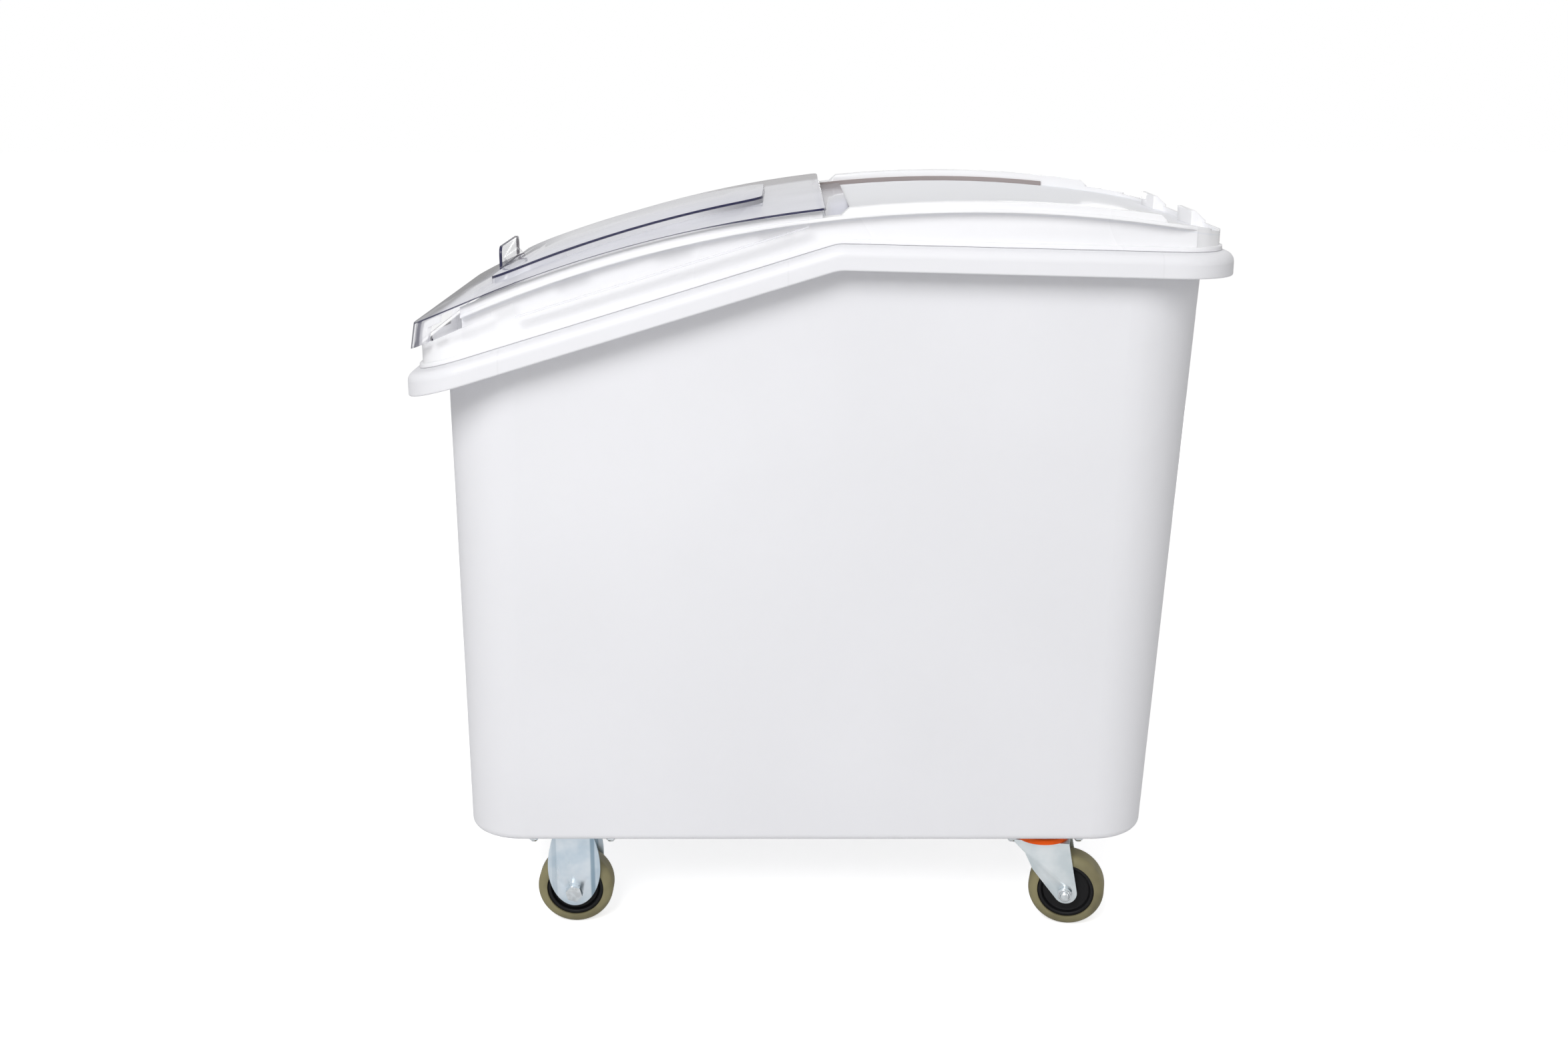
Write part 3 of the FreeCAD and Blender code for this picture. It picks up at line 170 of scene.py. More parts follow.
class Bench:
    """Builds the node tree of one material."""

    def __init__(self, name: str) -> None:
        """Starts an empty material.

        Args:
            name: the material's name.
        """
        self.material = bpy.data.materials.new(name)
        self.material.use_nodes = True
        self.tree = self.material.node_tree
        self.tree.nodes.clear()

    def node(self, kind: str, settings: dict[str, Any] | None = None,
             sockets: dict[int | str, Any] | None = None, out: int | str = 0) -> Signal:
        """Adds any node: its settings first, then the values or links of its sockets.

        Args:
            kind: the node's type, without the words that all of them start with.
            settings: its properties.
            sockets: values or signals by input index or name.
            out: which output to return.

        Returns:
            The chosen output.
        """
        made = self.tree.nodes.new("ShaderNode" + kind)
        for name, value in (settings or {}).items():
            setattr(made, name, value)
        for key, value in (sockets or {}).items():
            if isinstance(value, Signal):
                self.tree.links.new(value.socket, made.inputs[key])
            else:
                made.inputs[key].default_value = value
        return Signal(self, made.outputs[out])

    def place(self) -> tuple[Signal, Signal, Signal, Signal]:
        """Object coordinates.

        Returns:
            The whole vector, then X, Y and Z in metres.
        """
        spot = self.node("TexCoord", out="Object")
        split = self.node("SeparateXYZ", None, {0: spot})
        outputs = split.socket.node.outputs
        return (spot, *(Signal(self, outputs[i]) for i in range(3)))

    def noise(self, spot: Signal, scale: float, detail: float = 2.0,
              stretch: Sequence[float] = (1, 1, 1)) -> Signal:
        """Noise from 0 to 1 over the surface.

        Args:
            spot: object coordinates.
            scale: cells per metre.
            detail: octaves.
            stretch: scale of each axis, for brushed or drawn surfaces.

        Returns:
            The noise value.
        """
        if tuple(stretch) != (1, 1, 1):
            spot = self.node("Mapping", None, {"Vector": spot, "Scale": tuple(stretch)})
        return self.node("TexNoise", None, {"Vector": spot, "Scale": scale, "Detail": detail})

    def tint(self, share: Any, low: Colour, high: Colour) -> Signal:
        """Mixes two colours by a share."""
        return self.blend(share, (*low, 1.0), high)

    def blend(self, share: Any, base: Any, over: "Signal | Colour") -> Signal:
        """Lays a colour, or a colour signal, over another by a share."""
        top = over if isinstance(over, Signal) else (*over, 1.0)
        return self.node("Mix", {"data_type": "RGBA"}, {0: share, 6: base, 7: top}, out=2)

    def dot(self, vector: Signal, other: Any) -> Signal:
        """Dot product of a vector signal and a vector."""
        return self.node("VectorMath", {"operation": "DOT_PRODUCT"}, {0: vector, 1: other}, out=1)

    def relief(self, height: Signal, depth: float, strength: float, soft_edge: float = 0.0) -> Signal:
        """Surface normal from a height, over edges softened by soft_edge metres.

        Args:
            height: the height signal.
            depth: metres of relief for a height of 1.
            strength: share of the effect.
            soft_edge: radius that sharp edges seem to have.

        Returns:
            The normal.
        """
        sockets: dict[int | str, Any] = {"Height": height, "Distance": depth, "Strength": strength}
        if soft_edge:
            sockets["Normal"] = self.node("Bevel", {"samples": 6}, {"Radius": soft_edge})
        return self.node("Bump", None, sockets)

    def surface(self, sockets: dict[int | str, Any]) -> bpy.types.Material:
        """Finishes the material with one Principled shader.

        Args:
            sockets: the shader's constants and its varying inputs, by name.

        Returns:
            The material.
        """
        shader = self.node("BsdfPrincipled", None, sockets)
        return self.close(shader)

    def close(self, shader: Signal) -> bpy.types.Material:
        """Links a shader to the material's output.

        Args:
            shader: the finished shader.

        Returns:
            The material.
        """
        output = self.tree.nodes.new("ShaderNodeOutputMaterial")
        self.tree.links.new(shader.socket, output.inputs["Surface"])
        return self.material


# ------------------------ finishes


def scaled(colour: Colour, share: float) -> Colour:
    """A colour made darker or lighter by a share, up to white."""
    return tuple(min(1.0, part * share) for part in colour)


@dataclass(frozen=True)
class MouldedPlastic:
    """Opaque moulded plastic with a fine grain, faint clouding and, on the rim, faint mould lines; a sunk
    deck may take a painted shade.
    """

    name: str
    colour: Colour
    roughness: float
    grain_per_metre: float = 700.0
    grain_depth: float = 0.00006
    cloud_per_metre: float = 4.0
    clouding: float = 0.02
    edge_radius: float = 0.0009
    coat: float = 0.0
    gloss: float = 0.5
    mould_lines: tuple[float, ...] = ()
    mould_line_reach: float = 0.236
    mould_line_half: float = 0.0004
    mould_line_depth: float = 1.5
    mould_line_shade: float = 0.93
    mould_line_share: float = 0.6
    deck_shade_colour: Colour | None = None
    deck_radius: float = 1.1705
    deck_centre: tuple[float, float] = (0.140, -0.462)

    def make(self) -> bpy.types.Material:
        """Builds the material.

        Returns:
            The material, ready for a piece.
        """
        bench = Bench(self.name)
        spot, x, y, z = bench.place()
        height = bench.noise(spot, self.grain_per_metre, 3.0)
        cloud = bench.noise(spot, self.cloud_per_metre)
        clouded = scaled(self.colour, 1.0 - 2.2 * self.clouding)
        colour = bench.tint(cloud.ramp(*NOISE_CORE), clouded, self.colour)
        if self.mould_lines:
            line = self._lines(x, y)
            height = height - line * self.mould_line_depth
            dark = scaled(self.colour, self.mould_line_shade)
            colour = bench.blend(line * self.mould_line_share, colour, dark)
        # painted shade: the sunk deck is made darker and bluer
        if self.deck_shade_colour is not None:
            colour = bench.blend(self._deck_shade(x, z), colour, self.deck_shade_colour)
        return bench.surface({
            "Base Color": colour,
            "Roughness": cloud.ramp(*NOISE_SPAN, self.roughness - 0.05, self.roughness + 0.05),
            "Specular IOR Level": self.gloss,
            "Coat Weight": self.coat,
            "Coat Roughness": 0.2,
            "Normal": bench.relief(height, self.grain_depth, strength=0.25, soft_edge=self.edge_radius),
        })

    def _lines(self, x: Signal, y: Signal) -> Signal:
        """Where the mould left its lines across the rim.

        Args:
            x: place along the bin.
            y: place across it.

        Returns:
            The lines' share, from 0 to 1.
        """
        line: Any = 0.0
        for place in self.mould_lines:
            line = abs(x - place).until(self.mould_line_half, 2 * self.mould_line_half) + line
        return line * abs(y).past(self.mould_line_reach, 0.001)

    def _deck_shade(self, x: Signal, z: Signal) -> Signal:
        """Where the surface lies on the sunk deck's arc, which takes the painted shade.

        Args:
            x: place along the bin.
            z: height.

        Returns:
            The painted shade's share, from 0 to 1.
        """
        along, up = x - self.deck_centre[0], z - self.deck_centre[1]
        off = abs((along * along + up * up).root() - self.deck_radius)
        return off.until(0.0004, 0.0006)


@dataclass(frozen=True)
class LidPlaces:
    """Where the clear lid's features lie, in metres, with radii taken from the centre of its slide."""

    centre_x: float = 0.140
    centre_z: float = -0.462
    lip_foot: float = 1.1665
    flange_top: float = 1.1755
    plate_top: float = 1.1843
    panel_top: float = 1.1908
    lip_x: float = -0.325
    lip_fold_x: float = -0.330
    lip_corner_x: float = -0.300
    lip_corner_y: float = 0.130
    lip_slot_y: float = 0.172
    round_x: float = -0.310
    round_y: float = 0.1721
    round_fold: float = 0.0565
    middle_x: float = -0.280
    middle_y: float = 0.150
    far_shade_x: float = -0.155
    far_shade_y: float = 0.115
    hook_y: float = 0.206
    hook_root_y: float = 0.2290
    skirt_y: float = 0.2321
    tab_back: float = -0.3060
    rear: float = 0.007


@dataclass(frozen=True)
class LidEdges:
    """How strongly each kind of edge of the clear lid shows, from 0 to 1."""

    fold_sides: float = 0.80
    fold_ends: float = 0.97
    tab_rim: float = 0.85
    rear_cut: float = 0.55
    tongue_fold: float = 0.70
    skirt_foot: float = 0.80
    lip_cut: float = 0.90
    bead_ledge: float = 0.60
    corner_outline: float = 0.75


class LidSurface:
    """Signals that say on which feature of the clear lid a point of its surface lies, each from 0 to 1."""

    def __init__(self, bench: Bench, at: LidPlaces, shows: LidEdges) -> None:
        """Works out the place, the slide's radius and how the surface faces.

        Args:
            bench: the material's bench.
            at: where the lid's features lie.
            shows: how strongly its edges show.
        """
        self.at = at
        self.shows = shows
        self.spot, self.x, self.y, z = bench.place()
        self.side = abs(self.y)
        along, up = self.x - at.centre_x, z - at.centre_z
        self.radius = (along * along + up * up).root()
        normal = bench.node("TexCoord", out="Normal")
        outward = bench.node("CombineXYZ", None, {0: along / self.radius, 2: up / self.radius})
        self.flat = abs(bench.dot(normal, outward)).ramp(0.90, 0.985)
        self.turning = 1.0 - self.flat
        self.facing_x = abs(bench.node("SeparateXYZ", None, {0: normal}))
        self.facing_z = bench.node("SeparateXYZ", None, {0: normal}, out=2)
        self.down = self.facing_z.ramp(-0.6, -0.8)
        self.slant = bench.node("LayerWeight", None, {"Blend": 0.32}, out="Facing")

    def middle(self) -> Signal:
        """The turning faces between the side zones, stronger towards the front.

        Returns:
            Their share, up to 0.45.
        """
        inner = self.side.until(self.at.middle_y, 0.006)
        inner = inner * self.radius.past(self.at.flange_top + 0.0005, 0.002)
        inner = inner * self.radius.until(self.at.panel_top + 0.0004, 0.0004)
        return inner * self.x.ramp(self.at.middle_x, self.at.middle_x + 0.100, 0.45, 0.15) * self.turning

    def hook(self) -> Signal:
        """The hooks under the flanges."""
        reach = self.side.past(self.at.hook_y, 0.004) * self.side.past(self.at.hook_root_y, -0.0005)
        return reach * self.radius.past(self.at.flange_top + 0.001, -0.0015)

    def corner(self) -> Signal:
        """The lip's rounded corners, which take a painted sheen."""
        reach = self.x.past(self.at.lip_corner_x, -0.035) * self.side.past(self.at.lip_corner_y, 0.04)
        return reach * self.turning

    def bead(self) -> Signal:
        """The bead along the skirt, which takes a painted highlight."""
        return self.side.past(self.at.skirt_y + 0.0002, 0.0002)

    def tongue(self) -> Signal:
        """The flat of the rear tongue."""
        return self.x.past(self.at.rear + 0.001, 0.002) * self.flat

    def front_stretch(self) -> Signal:
        """The flat stretch behind the lip's fold, which takes the grey painted shade."""
        return self.x.past(self.at.lip_fold_x, -0.016) * self.flat

    def tab(self) -> Signal:
        """The handle tab, which is all that stands above the panel and takes the lavender painted shade."""
        return self.radius.past(self.at.panel_top + 0.001, 0.002)

    def far_shade(self) -> Signal:
        """The rear stretch at the far side, which takes a brownish painted shade."""
        return self.x.past(self.at.far_shade_x, 0.095) * self.y.past(self.at.far_shade_y, 0.035) * self.flat

    def corner_outline(self) -> Signal:
        """Two slanting bands that outline the lip's corners.

        Returns:
            Their share, from 0 to 1.
        """
        bands = self.slant.ramp(0.60, 0.70) + self.slant.ramp(0.38, 0.43) * self.slant.ramp(0.53, 0.48)
        reach = self.x.past(self.at.lip_x, -0.020) * self.side.past(self.at.lip_slot_y, 0.004)
        return bands * reach * self.turning * self.shows.corner_outline

    def edges(self) -> Signal:
        """Where the sheet is folded or cut."""
        return (self._plate_fold() + self._panel_fold() + self._tab_rim() + self._rear_cut()
                + self._tongue_fold() + self._skirt_foot() + self._lip_cut() + self._bead_ledge())

    def _plate_fold(self) -> Signal:
        """The fold round the plate, broader at its front and rear, which follows the rounded corners.

        Returns:
            The fold's share, from 0 to 1.
        """
        strong = (self.x.ramp(-0.32, -0.26, 0.5, 0.0) + self.x.ramp(-0.14, -0.02)).at_most(1.0)
        inward = (self.at.round_x - self.x).at_least(0.0)
        across = (self.side - self.at.round_y).at_least(0.0)
        rim = (inward * inward + across * across).root()
        fold = self.turning * (self.radius + strong * 0.0012).past(self.at.plate_top - 0.0009, 0.0004)
        fold = fold * self.radius.until(self.at.plate_top + 0.0003, 0.0003)
        shown = strong.ramp(0.0, 1.0, self.shows.fold_sides, self.shows.fold_ends)
        return fold * rim.past(self.at.round_fold, 0.001) * shown

    def _panel_fold(self) -> Signal:
        """The fold round the raised panel."""
        fold = self.turning * self.radius.past(self.at.panel_top - 0.0028, 0.001)
        return fold * self.radius.until(self.at.panel_top + 0.0003, 0.0005)

    def _tab_rim(self) -> Signal:
        """The rim of the handle tab."""
        rim = self.facing_x.until(0.55, 0.20) * self.radius.past(self.at.panel_top + 0.0006, 0.0006)
        return rim * self.x.until(self.at.tab_back + 0.0002, 0.0003) * self.shows.tab_rim

    def _rear_cut(self) -> Signal:
        """The plate's cut rear edge."""
        return self.facing_x.past(0.7, 0.2) * self.x.past(self.at.rear - 0.004, 0.002) * self.shows.rear_cut

    def _tongue_fold(self) -> Signal:
        """The folds of the rear tongue."""
        return self.turning * self.x.past(self.at.rear + 0.0005, 0.001) * self.shows.tongue_fold

    def _skirt_foot(self) -> Signal:
        """The skirt's cut foot."""
        return self.down * self.side.past(self.at.skirt_y - 0.0045, 0.001) * self.shows.skirt_foot

    def _lip_cut(self) -> Signal:
        """The lip's cut foot."""
        reach = self.x.past(self.at.lip_x, -0.015) * self.radius.past(self.at.lip_foot, -0.001)
        return self.down * reach * self.shows.lip_cut

    def _bead_ledge(self) -> Signal:
        """The ledges of the bead."""
        return self.bead() * abs(self.facing_z).past(0.3, 0.4) * self.shows.bead_ledge


@dataclass(frozen=True)
class ClearSheet:
    """Clear polycarbonate, nearly invisible square on, milky at a slant and deep blue along its edges, with
    painted shade at the front, on the far side and on the tab, and painted sheen on the corners and the
    bead.
    """

    name: str
    colour: Colour = (0.645, 0.65, 0.735)
    deep: Colour = (0.012, 0.012, 0.055)
    # brownish painted shade for the edges and the rear stretch on the far side
    far_shade_tint: Colour = (0.110, 0.080, 0.076)
    # grey painted shade for the front stretch
    front_shade: Colour = (0.085, 0.082, 0.085)
    # lavender painted shade for the tab
    tab_shade_colour: Colour = (0.40, 0.39, 0.46)
    # colour of the painted sheen on the corners and the painted highlight on the bead
    white: Colour = (0.84, 0.84, 0.89)
    square_on: float = 0.03
    slanting: float = 0.93
    roughness: float = 0.05
    corner_alpha: float = 0.50
    bead_alpha: float = 0.45
    tongue_alpha: float = 0.30
    hook_clears: float = 0.85
    shadow_clears: float = 0.75
    inside_clears: float = 0.85
    front_shade_share: float = 0.80
    tab_shade_share: float = 0.16
    far_shade_share: float = 0.50
    haze_per_metre: float = 9.0
    waves_per_metre: float = 25.0
    streaks_per_metre: float = 30.0
    places: LidPlaces = LidPlaces()
    edges: LidEdges = LidEdges()

    def make(self) -> bpy.types.Material:
        """Builds the material: a clear shader, with an opaque one along the folds and edges and for the
        painted shade at the front, on the far side and on the tab.

        Returns:
            The material, ready for a piece.
        """
        bench = Bench(self.name)
        lid = LidSurface(bench, self.places, self.edges)
        streaks = bench.noise(lid.spot, self.streaks_per_metre, 3.0, stretch=(3.0, 0.6, 1.0))
        # grey painted shade on the front stretch, in streaks
        front_shade = lid.front_stretch() * streaks.ramp(0.25, 0.75, 0.75, 1.0)
        # the tab takes a share of the lavender painted shade
        share = lid.edges() + lid.corner_outline() + front_shade * self.front_shade_share + lid.tab() * self.tab_shade_share
        # the far side's rear stretch takes a brownish painted shade
        share = (share + lid.far_shade() * self.far_shade_share).at_most(0.97)
        shaders = {1: self._clear(bench, lid), 2: self._edge(bench, lid, front_shade)}
        return bench.close(bench.node("MixShader", None, {0: share, **shaders}))

    def _alpha(self, bench: Bench, lid: LidSurface, haze: Signal) -> Signal:
        """How much the sheet covers.

        Args:
            bench: the material's bench.
            lid: the lid's features.
            haze: the sheet's faint clouding, from 0 to 1.

        Returns:
            The alpha; shadow rays and the sheet's inner faces see less of it.
        """
        milky = lid.slant.ramp(0.30, 0.82) * self.slanting * lid.flat.ramp(0.0, 1.0, 0.18, 1.0)
        milky = milky * (1.0 - lid.hook() * self.hook_clears) + lid.middle()
        alpha = milky + haze * 0.02 + self.square_on
        # the corners and the bead cover more, so that their painted sheen and highlight show
        alpha = alpha + (self.corner_alpha - alpha) * lid.corner()
        alpha = alpha + (self.bead_alpha - alpha) * lid.bead() + lid.tongue() * self.tongue_alpha
        outside = 1.0 - bench.node("NewGeometry", out="Backfacing") * self.inside_clears
        lit = 1.0 - bench.node("LightPath", out="Is Shadow Ray") * self.shadow_clears
        return alpha.at_most(1.0) * lit * outside

    def _clear(self, bench: Bench, lid: LidSurface) -> Signal:
        """The clear shader, with a painted sheen on the corners and a painted highlight on the bead.

        Args:
            bench: the material's bench.
            lid: the lid's features.

        Returns:
            The shader.
        """
        haze = bench.noise(lid.spot, self.haze_per_metre).ramp(*NOISE_SPAN)
        waves = bench.noise(lid.spot, self.waves_per_metre, 1.0)
        body = bench.tint(haze, self.colour, scaled(self.colour, 1.10))
        return bench.node("BsdfPrincipled", None, {
            # painted sheen on the corners, painted highlight on the bead
            "Base Color": bench.blend((lid.corner() + lid.bead()).at_most(1.0), body, self.white),
            "Roughness": haze * 0.04 + self.roughness,
            "Alpha": self._alpha(bench, lid, haze),
            "IOR": 1.58,
            "Normal": bench.relief(waves, depth=0.0006, strength=0.15),
        })

    def _edge(self, bench: Bench, lid: LidSurface, front_shade: Signal) -> Signal:
        """The opaque shader: deep blue, with a brownish painted shade to the far side, a grey painted shade
        at the front and a lavender painted shade on the tab.

        Args:
            bench: the material's bench.
            lid: the lid's features.
            front_shade: the share of the grey stretch.

        Returns:
            The shader.
        """
        # the edges turn from deep blue to a brownish painted shade towards the far side
        line = bench.tint(lid.y.ramp(-0.05, 0.15), self.deep, self.far_shade_tint)
        # grey painted shade over the front stretch
        line = bench.blend(front_shade, line, self.front_shade)
        # lavender painted shade on the tab's faces
        tab_shade_face = (lid.tab() * 1.12).at_most(1.0) * lid.facing_x.ramp(0.6, 0.8)
        return bench.node("BsdfPrincipled", None, {
            "Base Color": bench.blend(tab_shade_face, line, self.tab_shade_colour),
            "Roughness": 0.3,
            "Specular IOR Level": 0.25,
        })


@dataclass(frozen=True)
class ZincPlate:
    """Bright zinc plate on pressed steel, blue-tinted and cloudy; side zones may be pressed back."""

    name: str
    colour: Colour = (0.80, 0.87, 0.93)
    tinted: Colour = (0.62, 0.73, 0.82)
    painted_dark: Colour = (0.20, 0.32, 0.42)
    roughness: float = 0.34
    cloud_per_metre: float = 42.0
    marks_per_metre: float = 160.0
    pits_per_metre: float = 420.0
    edge_radius: float = 0.0003
    press_x: float | None = None
    press_half: float = 0.0165
    press_depth: float = 14.0

    def make(self) -> bpy.types.Material:
        """Builds the material.

        Returns:
            The material, ready for a piece.
        """
        bench = Bench(self.name)
        spot, x, _, _ = bench.place()
        cloud = bench.noise(spot, self.cloud_per_metre, 3.0)
        marks = bench.noise(spot, self.marks_per_metre, stretch=(1.0, 1.0, 0.12))
        pits = bench.noise(spot, self.pits_per_metre)
        colour = bench.tint(cloud.ramp(0.35, 0.70), self.tinted, self.colour)
        height = marks * 0.6 + pits * 0.4
        if self.press_x is not None:
            off = x - self.press_x + (marks - 0.5) * 0.0012
            colour = bench.blend(self._pressed(off), colour, self.painted_dark)
            height = height - abs(off).past(self.press_half, 0.004) * self.press_depth
        return bench.surface({
            "Base Color": colour,
            "Metallic": 0.92,
            "Roughness": marks.ramp(*NOISE_SPAN, self.roughness - 0.07, self.roughness + 0.09),
            "Normal": bench.relief(height, depth=0.00005, strength=0.30, soft_edge=self.edge_radius),
        })

    def _pressed(self, off: Signal) -> Signal:
        """The shade of the steps to the zones pressed back, deeper on the right one.

        Args:
            off: distance to the right of the leg's middle line.

        Returns:
            The shade's share, from 0 to 1.
        """
        right = off.ramp(self.press_half - 0.001, self.press_half + 0.001)
        right = right * off.ramp(self.press_half + 0.0035, self.press_half + 0.0050, 1.0, 0.25)
        left = off.past(-self.press_half, -0.0015)
        left = left * off.ramp(-self.press_half - 0.0045, -self.press_half - 0.0065, 1.0, 0.2)
        return (right * 0.75 + left * 0.28).at_most(1.0)


@dataclass(frozen=True)
class PlatedSteel:
    """Plated fasteners, brighter and smoother than the pressings, with a painted dark reflection on the
    facets that face the rear and up.
    """

    name: str
    colour: Colour = (0.80, 0.84, 0.87)
    painted_dark: Colour = (0.015, 0.035, 0.050)
    painted_reflection_facing: tuple[float, float, float] = (0.90, 0.0, 0.43)
    roughness: float = 0.18
    cloud_per_metre: float = 230.0

    def make(self) -> bpy.types.Material:
        """Builds the material.

        Returns:
            The material, ready for a piece.
        """
        bench = Bench(self.name)
        spot, _, _, _ = bench.place()
        cloud = bench.noise(spot, self.cloud_per_metre)
        body = bench.tint(cloud.ramp(*NOISE_CORE), scaled(self.colour, 0.82), self.colour)
        # painted dark reflection on the facets that face the rear and up
        tilt = bench.dot(bench.node("TexCoord", out="Normal"), self.painted_reflection_facing)
        painted_reflection = (tilt + (cloud - 0.5) * 0.10).ramp(0.72, 0.88, 0.0, 0.95)
        return bench.surface({
            "Base Color": bench.blend(painted_reflection, body, self.painted_dark),
            "Metallic": 1.0,
            "Roughness": cloud.ramp(*NOISE_SPAN, self.roughness - 0.05, self.roughness + 0.08),
            "Normal": bench.relief(cloud, depth=0.00004, strength=0.25),
        })


@dataclass(frozen=True)
class TyreRubber:
    """Olive elastomer tread, slightly clouded, with a satin skin."""

    name: str
    colour: Colour = (0.250, 0.224, 0.118)
    dark: Colour = (0.150, 0.132, 0.072)
    roughness: float = 0.50
    cloud_per_metre: float = 30.0
    skin_per_metre: float = 900.0

    def make(self) -> bpy.types.Material:
        """Builds the material.

        Returns:
            The material, ready for a piece.
        """
        bench = Bench(self.name)
        spot, _, _, _ = bench.place()
        cloud = bench.noise(spot, self.cloud_per_metre)
        skin = bench.noise(spot, self.skin_per_metre)
        return bench.surface({
            "Base Color": bench.tint(cloud.ramp(0.2, 0.6), self.dark, self.colour),
            "Roughness": cloud.ramp(*NOISE_SPAN, self.roughness, self.roughness + 0.1),
            "Specular IOR Level": 0.35,
            "Normal": bench.relief(skin, depth=0.00005, strength=0.3),
        })


@dataclass(frozen=True)
class StudioPaper:
    """White floor that keeps the bin's shadow and otherwise shows as the white background."""

    name: str
    shade: float = 0.80
    lift: float = 0.66

    def make(self) -> bpy.types.Material:
        """Builds the material.

        Returns:
            The material, ready for a piece.
        """
        bench = Bench(self.name)
        grey = (self.shade, self.shade, self.shade, 1.0)
        paper = bench.node("BsdfDiffuse", None, {"Color": grey})
        glow = bench.node("Emission", None, {"Color": (1.0, 1.0, 1.0, 1.0), "Strength": self.lift})
        both = bench.node("AddShader", None, {0: paper, 1: glow})
        seen = bench.node("LightPath", out="Is Camera Ray")
        mixed = bench.node("MixShader", None, {0: seen, 1: paper, 2: both})
        return bench.close(mixed)


class Finishes:
    """Every material of the bin, made once."""

    def __init__(self) -> None:
        """Builds the materials."""
        self.tub = MouldedPlastic("tub_polyethylene", (0.800, 0.800, 0.828), 0.46, clouding=0.010,
                                  mould_lines=(-0.283, -0.0262, 0.3007)).make()
        # the lid base's sunk deck takes a painted shade
        self.lid = MouldedPlastic("lid_polymer", (0.900, 0.900, 0.918), 0.30, grain_depth=0.00003,
                                  clouding=0.008, edge_radius=0.0012, coat=0.15,
                                  deck_shade_colour=(0.845, 0.855, 0.890)).make()
        self.clear = ClearSheet("clear_sheet").make()
        # the glide strips are real parts, but their grey stands for the shade at the rails' inner feet:
        # painted shade
        self.glide = MouldedPlastic("glide_grey_painted_shade", (0.330, 0.285, 0.280), 0.45, clouding=0.04).make()
        self.zinc = ZincPlate("zinc_plate", (0.82, 0.87, 0.89), (0.69, 0.76, 0.79)).make()
        self.zinc_pressed = ZincPlate("zinc_plate_pressed", press_x=-0.239).make()
        self.bright = PlatedSteel("plated_fastener").make()
        self.tyre = TyreRubber("tyre_elastomer").make()
        self.hub = MouldedPlastic("hub_nylon", (0.006, 0.006, 0.007), 0.48, grain_per_metre=1500.0,
                                  clouding=0.10, edge_radius=0.0004, gloss=0.25).make()
        self.ring = MouldedPlastic("ring_orange", (0.93, 0.11, 0.001), 0.40, grain_per_metre=1500.0,
                                   clouding=0.03, edge_radius=0.0003, gloss=0.2).make()


# ------------------------ mesh shop


